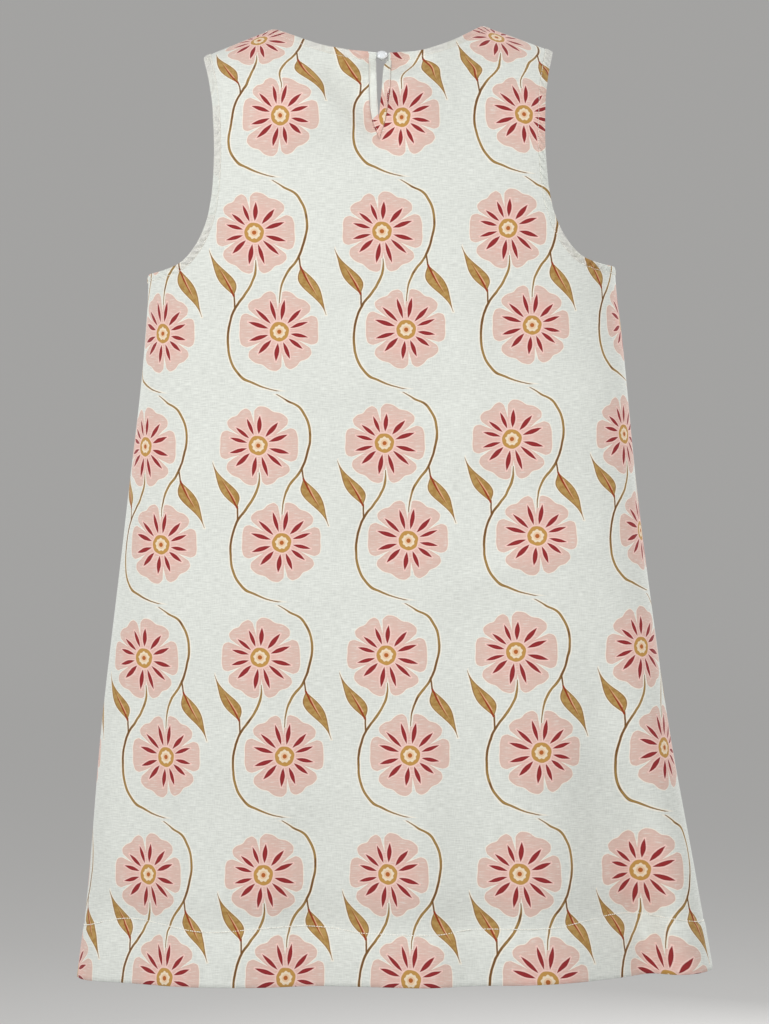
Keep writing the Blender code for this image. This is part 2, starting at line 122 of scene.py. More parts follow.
# %% Armhole and neck
ARMHOLE = table(
    "height back front",
    (-0.2370, 0.2333, 0.2333),
    (-0.2364, 0.2230, 0.2225),
    (-0.2342, 0.2110, 0.2095),
    (-0.2290, 0.1965, 0.1940),
    (-0.2180, 0.1830, 0.1795),
    (-0.1990, 0.1700, 0.1655),
    (-0.1750, 0.1610, 0.1560),
    (-0.1450, 0.1562, 0.1510),
    (-0.1100, 0.1545, 0.1495),
    (-0.0700, 0.1558, 0.1525),
    (-0.0400, 0.1597, 0.1580),
    (SHOULDER_TIP_HEIGHT, SHOULDER_TIP, SHOULDER_TIP),
)

NECK_DROP = {BACK: 0.0415, FRONT: 0.092}
NECK_POWER = {(BACK, LEFT): 1.85, (BACK, RIGHT): 2.5, (FRONT, LEFT): 2.5, (FRONT, RIGHT): 2.5}

print("neck drops:", NECK_DROP[BACK], "m at the back and", NECK_DROP[FRONT], "m at the front")

# %% [markdown]
# Cloth that widens towards the hem hangs in folds. Each row is one: its place as a share of the half
# width, how deep it is below zero or how high above, its width, and between which heights it grows. The
# solid model has the same folds.

# %% The flare's folds
FOLDS = table(
    "side place depth width start full",
    (BACK, 0.86, -0.024, 0.150, -0.48, -0.72),
    (BACK, 0.24, -0.013, 0.130, -0.50, -0.85),
    (BACK, -0.10, 0.013, 0.120, -0.45, -0.85),
    (BACK, -0.42, 0.008, 0.130, -0.50, -0.85),
    (BACK, -0.74, -0.017, 0.130, -0.50, -0.85),
    (BACK, -0.80, -0.022, 0.060, -0.70, -0.90),
    (FRONT, -0.78, -0.020, 0.130, -0.45, -0.80),
    (FRONT, -0.52, 0.013, 0.120, -0.40, -0.80),
    (FRONT, -0.22, -0.012, 0.130, -0.50, -0.85),
    (FRONT, 0.08, 0.010, 0.140, -0.55, -0.85),
    (FRONT, 0.40, -0.015, 0.120, -0.42, -0.82),
    (FRONT, 0.68, 0.012, 0.100, -0.48, -0.85),
    (FRONT, 0.85, -0.018, 0.080, -0.55, -0.85),
)

print("folds:", len(FOLDS))

# %% [markdown]
# The tables have few rows and the cloth has many, so `smooth` draws a curve through the rows. A plain
# spline would swing past them and put a bulge where the cloth is straight. This one is held back
# wherever the rows turn.

# %% Reading the tables
def smooth(at, places, values):
    """Values read between the rows of a table, on a smooth curve that never overshoots them."""
    places = np.asarray(places, float)
    values = np.asarray(values, float)
    if places[0] > places[-1]:
        places, values = places[::-1], values[::-1]
    steps = np.diff(places)
    rises = np.diff(values) / steps
    products = rises[1:] * rises[:-1]
    sums = np.where(products > 0, rises[1:] + rises[:-1], 1.0)
    inner = np.where(products > 0, 2 * products / sums, 0.0)
    slopes = np.concatenate([rises[:1], inner, rises[-1:]])
    at = np.clip(at, places[0], places[-1])
    i = np.clip(np.searchsorted(places, at) - 1, 0, len(steps) - 1)
    t = (at - places[i]) / steps[i]
    start = values[i] * (1 + 2 * t) + slopes[i] * steps[i] * t
    end = values[i + 1] * (3 - 2 * t) - slopes[i + 1] * steps[i] * (1 - t)
    return start * (1 - t) ** 2 + end * t**2


def section(height, column):
    return smooth(height, [s.height for s in SECTIONS], [getattr(s, column) for s in SECTIONS])


print("half width at the underarm and the hem:", section(UNDERARM_HEIGHT, "half_width"),
      section(HEM_HEIGHT, "half_width"))

# %% [markdown]
# ## Creases
#
# Linen keeps the soft dents that wearing and folding leave. Each row below is one trough or ridge: where
# its middle lies, its length and width, how it leans from the level line, and its height.
# A cloth simulation would give other creases on every change of the form. Placed ones stay where the
# cloth of this dress pulls: under the arms, across the small of the back, and down the flare.

# %% The creases' places and sizes
CREASES = table(
    "side x z length width lean height bend",
    (BACK, -0.011, -0.037, 0.07, 0.012, -18, -0.0195, 0.00),
    (BACK, 0.028, -0.064, 0.17, 0.043, -8, 0.0186, 0.00),
    (BACK, 0.016, -0.068, 0.10, 0.024, 44, -0.0234, 0.00),
    (BACK, -0.235, -0.850, 0.24, 0.050, 78, -0.0140, 0.00),
    (BACK, 0.000, -0.868, 0.90, 0.022, 0, -0.0050, 0.00),
    (BACK, 0.280, -0.858, 0.12, 0.030, 20, -0.0060, 0.00),
    (FRONT, 0.000, -0.866, 0.90, 0.022, 0, -0.0045, 0.00),
    (FRONT, 0.060, -0.120, 0.10, 0.020, -38, -0.0030, 0.05),
    (BACK, 0.131, -0.155, 0.20, 0.018, 90, 0.0017, 0.00),
    (BACK, 0.179, -0.629, 0.44, 0.016, 91, -0.0026, 0.02),
    (BACK, 0.097, -0.347, 0.12, 0.015, 48, -0.0018, 0.10),
    (BACK, 0.017, -0.264, 0.08, 0.012, -30, -0.0014, 0.12),
    (BACK, -0.084, -0.314, 0.19, 0.015, 84, 0.0015, -0.05),
    (BACK, -0.043, -0.366, 0.15, 0.012, -13, -0.0015, 0.08),
    (BACK, 0.021, -0.497, 0.15, 0.006, 2, -0.0007, 0.03),
    (BACK, -0.136, -0.450, 0.07, 0.012, 12, -0.0016, 0.10),
    (BACK, -0.147, -0.513, 0.17, 0.012, -15, 0.0022, -0.06),
    (BACK, -0.201, -0.761, 0.25, 0.020, 88, -0.0030, 0.04),
    (FRONT, 0.104, -0.150, 0.16, 0.018, 85, 0.0014, 0.03),
    (FRONT, -0.115, -0.172, 0.14, 0.017, 98, 0.0013, -0.04),
    (FRONT, 0.148, -0.305, 0.22, 0.016, 78, -0.0018, 0.06),
    (FRONT, -0.158, -0.332, 0.19, 0.015, 101, -0.0016, -0.05),
    (FRONT, 0.061, -0.255, 0.11, 0.013, 33, -0.0013, 0.12),
    (FRONT, -0.072, -0.268, 0.13, 0.013, -27, -0.0013, 0.10),
    (FRONT, 0.018, -0.412, 0.16, 0.012, 8, 0.0012, -0.08),
    (FRONT, -0.112, -0.522, 0.18, 0.013, -19, 0.0018, 0.05),
    (FRONT, 0.033, -0.601, 0.14, 0.007, 3, -0.0007, 0.02),
    (FRONT, 0.188, -0.664, 0.38, 0.017, 88, -0.0024, 0.03),
    (FRONT, -0.204, -0.725, 0.31, 0.018, 93, -0.0027, -0.02),
)

RUMPLES = table(
    "lean pitch start height",
    (12, 0.083, 0.3, 0.00022),
    (68, 0.061, 1.1, 0.00016),
    (-37, 0.047, 2.3, 0.00014),
    (101, 0.129, 0.7, 0.00030),
)


def creased(side, x, z):
    """How far creases and the faint rumples lift the cloth at a place."""
    lift = np.zeros(np.broadcast(x, z).shape)
    for c in CREASES:
        if c.side == side:
            turn = math.radians(c.lean)
            along = ((x - c.x) * math.cos(turn) + (z - c.z) * math.sin(turn)) / (c.length / 2)
            across = (z - c.z) * math.cos(turn) - (x - c.x) * math.sin(turn) - c.bend * c.length * along**2
            lift = lift + c.height * np.exp(-((across / c.width) ** 2)) * np.exp(-(along**4))
    for r in RUMPLES:
        turn = math.radians(r.lean)
        run = (x * math.cos(turn) + z * math.sin(turn)) * 2 * math.pi / r.pitch + r.start * side
        lift = lift + r.height * np.sin(run + 0.8 * np.sin(run * 0.37))
    return lift


print("creases:", len(CREASES), "placed by hand")

# %% [markdown]
# ## The cloth's surface
#
# Any point of a panel is known from its side, its x and its height: the section and the folds say how
# far it stands out. `outward` finds which way the cloth faces there, from two short steps along it, so
# that the bands, stitches and the cloth's own thickness can be laid square to it.

# %% Points and directions on the cloth
SLOPE_STEP = 2e-5
ON_SEAM = 1e-6


def ease(t):
    t = np.clip(t, 0, 1)
    return t * t * (3 - 2 * t)


def unit(ways):
    """Directions with their length made one."""
    return ways / np.linalg.norm(ways, axis=-1, keepdims=True)


def shoulder_line(x):
    """Height of the shoulder seam, carried on in a soft arch over the neck."""
    reach = np.sqrt(np.square(x) + NECK_SOFTNESS**2)
    tip = math.hypot(SHOULDER_TIP, NECK_SOFTNESS)
    neck = math.hypot(NECK_POINT, NECK_SOFTNESS)
    slope = (NECK_POINT_HEIGHT - SHOULDER_TIP_HEIGHT) / (tip - neck)
    return SHOULDER_TIP_HEIGHT + slope * (tip - reach)


def depth(side, x, z):
    """How far the cloth of a side stands out from the plane of the side seams."""
    place = (x - section(z, "middle")) / section(z, "half_width")
    share = np.clip(np.abs(place), 0, 1)
    squareness = np.where(place > 0, section(z, "left"), section(z, "right"))
    across = (1 - share**squareness) ** (1 / squareness)
    below = np.clip((shoulder_line(x) - z) / SHOULDER_ROUND, 0, 1)
    over = (1 - (1 - below) ** SHOULDER_POWER) ** (1 / SHOULDER_POWER)
    full = section(z, "back" if side == BACK else "front") + creased(side, x, z)
    for fold in FOLDS:
        if fold.side == side:
            fall = ease((fold.start - z) / (fold.start - fold.full))
            full = full + fold.depth * fall * np.exp(-(((place - fold.place) / fold.width) ** 2))
    return full * across * over


def on_cloth(side, x, z, apart=0.0):
    """Points of the outer surface. apart is their least distance from the plane of the side seams."""
    x, z = np.broadcast_arrays(np.asarray(x, float), np.asarray(z, float))
    return np.stack([x, side * (apart + depth(side, x, z)), z], axis=-1)


def outward(side, x, z):
    """The direction out of the cloth, from two short steps towards the middle of the panel."""
    inward = np.where(np.asarray(x) > 0, -SLOPE_STEP, SLOPE_STEP)
    here = on_cloth(side, x, z)
    along = (on_cloth(side, x + inward, z) - here) / inward[..., None]
    down = on_cloth(side, x, z - SLOPE_STEP) - here
    out = np.cross(along, down) * side
    on_seam = depth(side, x, z) < ON_SEAM
    out[..., 1] = np.where(on_seam, 0, out[..., 1])
    return unit(out)


print("the back stands out", round(float(depth(BACK, 0.0, -0.3)), 4), "m at the waist")

# %% [markdown]
# ## A panel's rows and columns
#
# A panel is a grid of points. Its rows are level in the skirt and bend with the armhole and the neck
# higher up, and its columns crowd at the sides, where the cloth turns the corner to the other panel.
# The solid has few of them. Here they are 3 to 5 mm apart, close enough to carry the creases.

# %% Edges and grid of a panel
NECK_COLUMNS = 38
SIDE_COLUMNS = 32
HEM_ROWS = 15
SKIRT_ROWS = 130
YOKE_ROWS = 76
HEM_DEPTH = 0.056
YOKE_RISE = 1.5
ARMHOLE_SHARE = 0.55
ARMHOLE_SAMPLES = 400


def travelled(points):
    """How far a walk along a row of points has come, at each point."""
    return np.concatenate([[0], np.cumsum(np.linalg.norm(np.diff(points, axis=0), axis=-1))])


def between(at, run, points):
    """Points read at places along a run, straight between the known ones."""
    return np.stack([np.interp(at, run, column) for column in np.transpose(points)], axis=-1)


def neck_line(side, x):
    """Height of a panel's neck edge."""
    share = np.clip(np.abs(x) / NECK_POINT, 0, 1)
    power = np.where(np.asarray(x) > 0, NECK_POWER[side, LEFT], NECK_POWER[side, RIGHT])
    return NECK_POINT_HEIGHT - NECK_DROP[side] * (1 - share**power)


def armhole_line(side, rows):
    """x and z of the panel's edge, at even steps along the cloth from underarm to shoulder."""
    places = np.array([(a.back if side == BACK else a.front, a.height) for a in ARMHOLE])
    run = travelled(places)
    fine = np.linspace(0, run[-1], ARMHOLE_SAMPLES)
    x, z = smooth(fine, run, places[:, 0]), smooth(fine, run, places[:, 1])
    along = travelled(on_cloth(side, x, z))
    even = np.linspace(0, along[-1], rows + 1)
    return between(even, along, np.stack([x, z], axis=-1)).T


def column_shares():
    """Places of the panel's columns, as shares of its half width, from the wearer's right to the left."""
    neck = math.asin(NECK_POINT / SHOULDER_TIP)
    angles = list(np.linspace(0, neck, NECK_COLUMNS + 1))
    angles += list(np.linspace(neck, math.pi / 2, SIDE_COLUMNS + 1)[1:])
    share = np.sin(angles)
    return np.concatenate([-share[:0:-1], share])


def panel_grid(side):
    """x and z of a panel's points: a row for each height from the hem up, from the wearer's right."""
    share = column_shares()
    hem_top = HEM_HEIGHT + HEM_DEPTH
    skirt = list(np.linspace(HEM_HEIGHT, hem_top, HEM_ROWS))
    skirt += list(np.linspace(hem_top, UNDERARM_HEIGHT, SKIRT_ROWS + 1)[1:])
    xs = [section(z, "middle") + section(z, "half_width") * share for z in skirt]
    zs = [np.full_like(share, z) for z in skirt]
    tip_x = SHOULDER_TIP * share
    at_neck = np.abs(tip_x) < NECK_POINT
    tops = np.where(at_neck, neck_line(side, tip_x), shoulder_line(tip_x))
    edge_x, edge_z = armhole_line(side, YOKE_ROWS)
    edge_rise = (edge_z - UNDERARM_HEIGHT) / (SHOULDER_TIP_HEIGHT - UNDERARM_HEIGHT)
    near_edge = 1 - np.clip((1 - np.abs(share)) / ARMHOLE_SHARE, 0, 1) ** 2
    for row in range(1, YOKE_ROWS + 1):
        even = math.sin(math.pi / 2 * row / YOKE_ROWS) ** YOKE_RISE
        middle_x = edge_x[0] + (SHOULDER_TIP - edge_x[0]) * even
        xs.append(share * (middle_x + (edge_x[row] - middle_x) * near_edge))
        zs.append(UNDERARM_HEIGHT + (even + (edge_rise[row] - even) * near_edge) * (tops - UNDERARM_HEIGHT))
    return np.array(xs), np.array(zs)


grids = {side: panel_grid(side) for side in (BACK, FRONT)}
print("a panel's grid:", grids[BACK][0].shape, "rows and columns")

# %% [markdown]
# ## Where a point lies on the cut
#
# The print was made on flat cloth, so it follows the cut and not the room. A place on the cut is
# measured as a tape would: across from the middle of the panel at one height, and up from the hem
# along the cloth. The two become the piece's UV map, in metres. Unwrapping with seams would give
# islands at any turn and size, and the print would no longer run straight down the grain. A maker
# never lays cloth quite straight, so on the back the print also drifts by some millimetres. Each row
# of the drift table gives a power of the way right, one of the way up, and how much they move it.

# %% Cut coordinates
TAPE_STEPS = 48
MIDDLE_HEIGHT = -0.469
FRONT_PHASE = (0.041, -0.068)

DRIFTS = table(
    "right up across along",
    (0, 0, 0.0007, 0.0005),
    (1, 0, -0.0021, 0.0150),
    (0, 1, 0.0066, -0.0099),
    (2, 0, 0.0533, 0.0986),
    (1, 1, -0.0183, 0.0064),
    (0, 2, -0.0068, -0.0231),
    (3, 0, 0.3839, -0.0431),
    (2, 1, -0.3581, 0.4211),
    (1, 2, 0.1178, -0.1454),
    (0, 3, 0.0004, 0.1062),
)


def tape(points):
    """Length of lines of points. The first axis runs along each line."""
    return np.linalg.norm(np.diff(points, axis=0), axis=-1).sum(axis=0)


def cut_place(side, x, z):
    """The place on the flat cut, in metres: across to the right as seen from outside, and up from the hem."""
    x, z = np.broadcast_arrays(np.asarray(x, float), np.asarray(z, float))
    turn = np.sin(np.linspace(0, math.pi / 2, TAPE_STEPS + 1)).reshape(-1, *[1] * x.ndim)
    across = tape(on_cloth(side, x * turn, z)) * np.sign(x) * -side
    place = (x - section(z, "middle")) / section(z, "half_width")
    climb = HEM_HEIGHT + (z - HEM_HEIGHT) * turn
    up = tape(on_cloth(side, section(climb, "middle") + place * section(climb, "half_width"), climb))
    if side == FRONT:
        return np.stack([across + FRONT_PHASE[0], up + FRONT_PHASE[1]], axis=-1)
    for d in DRIFTS:
        share = (-x) ** d.right * (z - MIDDLE_HEIGHT) ** d.up
        across = across - d.across * share
        up = up - d.along * share
    return np.stack([across, up], axis=-1)


cut = {side: cut_place(side, *grids[side]) for side in (BACK, FRONT)}
for side, word in ((BACK, "back"), (FRONT, "front")):
    print(word, "cut:", np.round(np.ptp(cut[side].reshape(-1, 2), axis=0), 3), "m wide and long")

# %% [markdown]
# ## Making meshes
#
# All the pieces are grids or rows of rings, so a few helpers make them: `add_piece` turns points and
# faces into a smooth-shaded object with its UV map, and `quads` counts out the faces of a grid. Filling
# arrays and handing them over once is far quicker than adding points one at a time.

# %% Mesh helpers
def add_piece(name, points, faces, places=None, kinds=None):
    """An object from points and faces. places are UV pairs, one for each point or for each face's corner,
    and kinds is a material's number for each face."""
    mesh = bpy.data.meshes.new(name)
    points = np.asarray(points, float).reshape(-1, 3)
    mesh.from_pydata(points.tolist(), [], [list(map(int, f)) for f in faces])
    if places is not None:
        places = np.asarray(places, float).reshape(-1, 2)
        if len(places) == len(points):
            corners = np.zeros(len(mesh.loops), dtype=np.int32)
            mesh.loops.foreach_get("vertex_index", corners)
            places = places[corners]
        mesh.uv_layers.new(name="cut").data.foreach_set("uv", places.ravel())
    if kinds is not None:
        mesh.polygons.foreach_set("material_index", np.asarray(kinds, dtype=np.int32))
    maker = bmesh.new()
    maker.from_mesh(mesh)
    bmesh.ops.recalc_face_normals(maker, faces=maker.faces)
    maker.to_mesh(mesh)
    maker.free()
    mesh.shade_smooth()
    made = bpy.data.objects.new(name, mesh)
    bpy.context.scene.collection.objects.link(made)
    return made


def quads(numbers):
    """The faces of a grid, from the numbers of its points."""
    corners = (numbers[:-1, :-1], numbers[:-1, 1:], numbers[1:, 1:], numbers[1:, :-1])
    return np.stack(corners, axis=-1).reshape(-1, 4)


def tell(piece):
    size = [round(d * 1000) for d in piece.dimensions]
    print(piece.name, "has", len(piece.data.polygons), "faces and is", size, "mm")


print("a grid of 3 by 4 points has", len(quads(np.arange(12).reshape(3, 4))), "faces")

# %% [markdown]
# ## Formulas in a material
#
# A print drawn by formulas needs many Math nodes, and a tree of them is hard to read. `Value` stands
# for a number on its way through the node tree, so that a formula can be written the way it is read:
# `x * 2 + y` adds the two nodes and links them.

# %% Numbers and colours in a node tree
class Value:
    """A number in a node tree, as a node's output socket."""

    def __init__(self, tree, socket):
        self.tree = tree
        self.socket = socket

    def maths(self, operation, *values):
        node = self.tree.nodes.new("ShaderNodeMath")
        node.operation = operation
        for place, value in zip(node.inputs, values):
            if isinstance(value, Value):
                self.tree.links.new(value.socket, place)
            else:
                place.default_value = value
        return Value(self.tree, node.outputs[0])

    def __add__(self, other):
        return self.maths("ADD", self, other)

    def __sub__(self, other):
        return self.maths("SUBTRACT", self, other)

    def __rsub__(self, other):
        return self.maths("SUBTRACT", other, self)

    def __mul__(self, other):
        return self.maths("MULTIPLY", self, other)

    def __truediv__(self, other):
        return self.maths("DIVIDE", self, other)

    def __pow__(self, other):
        return self.maths("POWER", self, other)

    __radd__ = __add__
    __rmul__ = __mul__

    def size(self):
        return self.maths("ABSOLUTE", self)

    def sine(self):
        return self.maths("SINE", self)

    def least(self, other):
        return self.maths("MINIMUM", self, other)

    def most(self, other):
        return self.maths("MAXIMUM", self, other)

    def wrap(self, low, high):
        return self.maths("WRAP", self, high, low)

    def ramp(self, start, end, low=0.0, high=1.0):
        """low before start, high after end, and a soft step between them."""
        node = self.tree.nodes.new("ShaderNodeMapRange")
        node.interpolation_type = "SMOOTHSTEP"
        self.tree.links.new(self.socket, node.inputs["Value"])
        for name, value in (("From Min", start), ("From Max", end), ("To Min", low), ("To Max", high)):
            node.inputs[name].default_value = value
        return Value(self.tree, node.outputs["Result"])

    def drawn(self, points, handle="AUTO"):
        """Reads the number through a drawn curve: points are pairs of number and result."""
        lows = np.min(points, axis=0)
        spans = np.max(points, axis=0) - lows
        node = self.tree.nodes.new("ShaderNodeFloatCurve")
        curve = node.mapping.curves[0]
        shares = (np.array(points) - lows) / spans
        while len(curve.points) < len(shares):
            curve.points.new(0.5, 0.5)
        for point, share in zip(curve.points, shares):
            point.location = share
            point.handle_type = handle
        node.mapping.update()
        self.tree.links.new(((self - lows[0]) / spans[0]).socket, node.inputs["Value"])
        return Value(self.tree, node.outputs["Value"]) * float(spans[1]) + float(lows[1])


print("steps of a formula:", [step for step in vars(Value) if not step.startswith("_")])

# %% [markdown]
# ## The print
#
# The cloth has an ordinary repeat of flowers on trailing stems: two flowers, two leaves and two long
# stems in a block about 123 by 207 mm. An image would have to be painted and stored, and would blur
# up close. Here every shape is a formula in millimetres from the middle of the first flower, x to the
# right and y down, so the print stays sharp at any distance. Where a formula is above zero, the
# point lies inside the shape.

# %% The block's layout, in millimetres
REPEAT_WIDTH = 123.3
REPEAT_HEIGHT = 206.6
FIRST_FLOWER = (-0.1244, 0.7319)
BLOCK_LEFT = -46.0
BLOCK_TOP = -51.4
SECOND_FLOWER = (22.3, 95.6)
FIRST_NOTCHES = (-155, -87, -31, 31, 99, 151)
SECOND_NOTCHES = (-152, -84, -26, 28, 92, 147)
SOFT_EDGE = 0.3
LONG_STEM = ((-50.2, 18.3), (-43.5, 28.9), (-32.0, 44.2), (-10.0, 51.0), (8.0, 48.2),
             (23.0, 42.8), (44.0, 28.2), (56.0, 24.2), (68.0, 22.9))
LOW_STEM = ((26.5, 0.8), (37.0, 0.4), (50.0, -4.4), (61.0, -11.8), (73.0, -20.8), (83.0, -25.2),
            (94.0, -27.8), (105.0, -28.5), (120.0, -26.8), (136.5, -18.3), (145.6, -4.0), (153.6, 20.4))


def paint(red, green, blue):
    """A colour as a paint chart gives it, from 0 to 255, turned into the light that Blender counts in."""
    shares = [c / 255 for c in (red, green, blue)]
    return [s / 12.92 if s < 0.04045 else ((s + 0.055) / 1.055) ** 2.4 for s in shares] + [1.0]


PETAL = paint(230, 198, 185)
PETAL_RIM = paint(229, 196, 183)
BLUSH = paint(239, 195, 183)
STREAK = paint(144, 35, 40)
STREAK_CORE = paint(156, 47, 49)
STREAK_HALO = paint(252, 214, 203)
GOLD = paint(201, 153, 82)
CREAM = paint(248, 230, 202)
RING_SHADE = paint(243, 208, 170)
HEART = paint(188, 104, 48)
STEM_LIGHT = paint(172, 138, 76)
STEM_DARK = paint(124, 86, 44)
LEAF_LIGHT = paint(190, 154, 92)
LEAF_DARK = paint(174, 134, 73)
LEAF_RIM = paint(146, 104, 54)
MIDRIB = paint(156, 62, 30)
RIB_LIGHT = paint(232, 178, 138)
HALO = paint(251, 246, 232)
print("a block is", REPEAT_WIDTH, "by", REPEAT_HEIGHT, "mm, and its petals as light", np.round(PETAL, 3))

# %% [markdown]
# A flower is drawn in polar form: how far a point lies from the middle, and in which of its six petals.
# The notches between petals are not at even angles, so a drawn curve turns the angle into a count of
# petals. Petals are a little redder near the middle. Two dark streaks run up each of them, and a wavy
# gold ring holds a scalloped cream middle.

# %% A flower
PETAL_LENGTH = 38.5
PETAL_SPAN = math.radians(60)
STREAK_START, STREAK_END, STREAK_HALF = 11.2, 30.1, 2.0
STREAK_PLACES = (0.25, 0.80)
RING_RADIUS, MIDDLE_RADIUS, SHADE_RADIUS, HEART_RADIUS = 9.5, 6.0, 3.8, 2.1


def flower(x, y, notches, longest):
    """The parts of one flower as pairs of shape and colour, in painting order. y runs up here, and the
    petals and streaks are longest towards the angle longest."""
    far = (x * x + y * y) ** 0.5
    angle = x.maths("ARCTAN2", y, x) * (180 / math.pi)

    def waves(count, height):
        return (angle * (count * math.pi / 180)).sine() * height

    last = notches[-1] - 360
    part = (-180 - last) / (notches[0] - last)
    points = [(-180, part)] + [(a, i + 1) for i, a in enumerate(notches)] + [(180, len(notches) + part)]
    petal = x.maths("FRACT", angle.drawn(points, "VECTOR"))
    # A petal's edges run beside its notches, part further out, and end in round corners with a dent.
    notch = petal.least(1 - petal) * PETAL_SPAN
    beside = far * notch.sine()
    steep = (angle * (math.pi / 180)).sine().size()
    dent = x.maths("EXPONENT", (petal - 0.5) * (petal - 0.5) * -60.0) * (steep * 2.0 + 0.7)
    towards = ((angle + (90 - longest)) * (math.pi / 180)).sine()
    rim = towards * 0.9 + PETAL_LENGTH - dent
    corner = (1 - (beside / 8).least(1.0)) ** 2 * 7.5
    cleft = ((far - 11.5) / 20.5).most(0.0) ** 1.5 * 2.2
    shape = (rim - corner - far).least(beside - cleft)
    # Each streak stands at its share of the petal's angle, and is widest halfway along.
    nearest = (petal - STREAK_PLACES[0]).size().least((petal - STREAK_PLACES[1]).size())
    reach = towards * 1.7 + STREAK_END
    swell = ((far - STREAK_START) / (reach - STREAK_START)).most(0.0).least(1.0)
    streak = ((swell * math.pi).sine().most(0.0)) ** 0.95 * STREAK_HALF - far * nearest * PETAL_SPAN
    streak = streak.least((far - STREAK_START).least(reach - far))
    # The middle is rings, whose rims wave by a few sines of the angle.
    inner = 21.0 - far
    ring = RING_RADIUS - far + waves(7, 0.12) + waves(4, 0.15)
    middle = MIDDLE_RADIUS - far + waves(9, 0.4) + waves(5, 0.2)
    return (
        (shape + 1.4, HALO), (shape + 0.6, PETAL_RIM), ((shape - 0.7).most(inner), PETAL),
        (((24.5 - far) * 0.03).least(shape.most(inner)), BLUSH), (streak + 1.2, STREAK_HALO),
        (streak, STREAK), (streak - 0.8, STREAK_CORE), (ring + 1.3, STREAK_HALO), (ring, GOLD),
        (middle, CREAM), (SHADE_RADIUS - far, RING_SHADE), (HEART_RADIUS - far, HEART),
    )


print("a petal is", PETAL_LENGTH, "mm long and its streaks start at", STREAK_START, "mm")

# %% [markdown]
# A leaf swells soon after its stalk and runs out into a long tip, and its middle line swings a little
# to one side and back. Both leaves come from one formula. A stem is a curve drawn through a few
# points. Its width is measured square to it, or it would look thin wherever it runs level.

# %% Leaves and stems
LEAF_SWING = 1.4


def leaf(x, y, base, tip, width, early, narrow):
    """A leaf from its base to its tip, as a shape, its red midrib and the light line beside that. early
    and narrow set how soon it swells and how long its tip runs out."""
    length = abs(tip[1] - base[1])
    t = (y - base[1]) / (tip[1] - base[1])
    inside = (t * length).least((1 - t) * length)
    t = t.most(0.0).least(1.0)
    swing = (t * (2 * math.pi)).sine() * (LEAF_SWING if tip[0] > base[0] else -LEAF_SWING)
    middle = t * (tip[0] - base[0]) + base[0] - swing
    half = (t**early * math.pi).sine().most(0.0) ** narrow * width
    rib_line = x - middle - swing * 0.55
    rib = ((0.6 - t) * 2.6).least(0.95)
    light = (rib - (rib_line - 1.2).size()).least(inside - 7.0)
    blade = (half + 0.25 - (x - middle).size() * 0.92).least(inside)
    return blade, (rib - rib_line.size()).least(inside), light


def stem(x, y, points, thickest, tail):
    """A stem along its drawn line, thin at the start and over its tail, and the light line round it."""
    lowest, highest = points[0][0], points[-1][0]
    line = y.drawn(points)
    slope = (y + 1.0).drawn(points) - line
    beside = (x - line).size() / (slope * slope + 1) ** 0.5
    half = y.ramp(lowest - 1, lowest + 14, 0.35, 1.0) * y.ramp(highest - tail, highest, 1.0, 0.4) * thickest
    inside = (y - lowest).least(highest - y)
    return (half - beside).least(inside), (half + 1.3 - beside).least(inside + 0.3)


def stalk(x, y, start, end, half):
    """A short straight stalk."""
    t = (y - start[1]) / (end[1] - start[1])
    beside = (x - (t * (end[0] - start[0]) + start[0])).size()
    return (half - beside).least(y - start[1]).least(end[1] - y)


print("the stems are drawn through", len(LONG_STEM), "and", len(LOW_STEM), "points")

# %% [markdown]
# Ink on linen is uneven, and so is the weave. Two more helpers give that: `mixed` blends two colours by
# a share, and `noise` makes clouds that can be stretched, long and thin for a thread or round for a
# patch of thinner ink. Both wrap one or two nodes, so the print's own lines stay short.

# %% Mixed colours and clouds
def mixed(tree, share, first, second, blend="MIX"):
    """A colour between two, by a share that may be a number or a Value."""
    node = tree.nodes.new("ShaderNodeMix")
    node.data_type = "RGBA"
    node.blend_type = blend
    for place, value in ((node.inputs[0], share), (node.inputs[6], first), (node.inputs[7], second)):
        if isinstance(value, Value):
            tree.links.new(value.socket, place)
        elif isinstance(value, bpy.types.NodeSocket):
            tree.links.new(value, place)
        else:
            place.default_value = value
    return node.outputs[2]


def noise(tree, places, stretch, detail=2.0, roughness=0.5):
    """Cloudy variation from 0 to 1. stretch is how many clouds fit a metre along and up the cut."""
    scaled = tree.nodes.new("ShaderNodeVectorMath")
    scaled.operation = "MULTIPLY"
    tree.links.new(places, scaled.inputs[0])
    scaled.inputs[1].default_value = stretch
    node = tree.nodes.new("ShaderNodeTexNoise")
    node.noise_dimensions = "2D"
    node.inputs["Scale"].default_value = 1.0
    node.inputs["Detail"].default_value = detail
    node.inputs["Roughness"].default_value = roughness
    tree.links.new(scaled.outputs[0], node.inputs["Vector"])
    return Value(tree, node.outputs["Fac"])


# %% [markdown]
# The print's group paints all the shapes over the bare cloth, each with a soft edge, as ink soaks into
# linen. Petals, stems and leaves first get a thin cream line round them, as the real print has. The same
# group gives the weave: level threads with slubs, which are thicker and a little lighter in places, and
# finer upright ones. Its height output goes to each material's Bump node.

# %% The print's node group
THREAD_PITCH = 0.0009


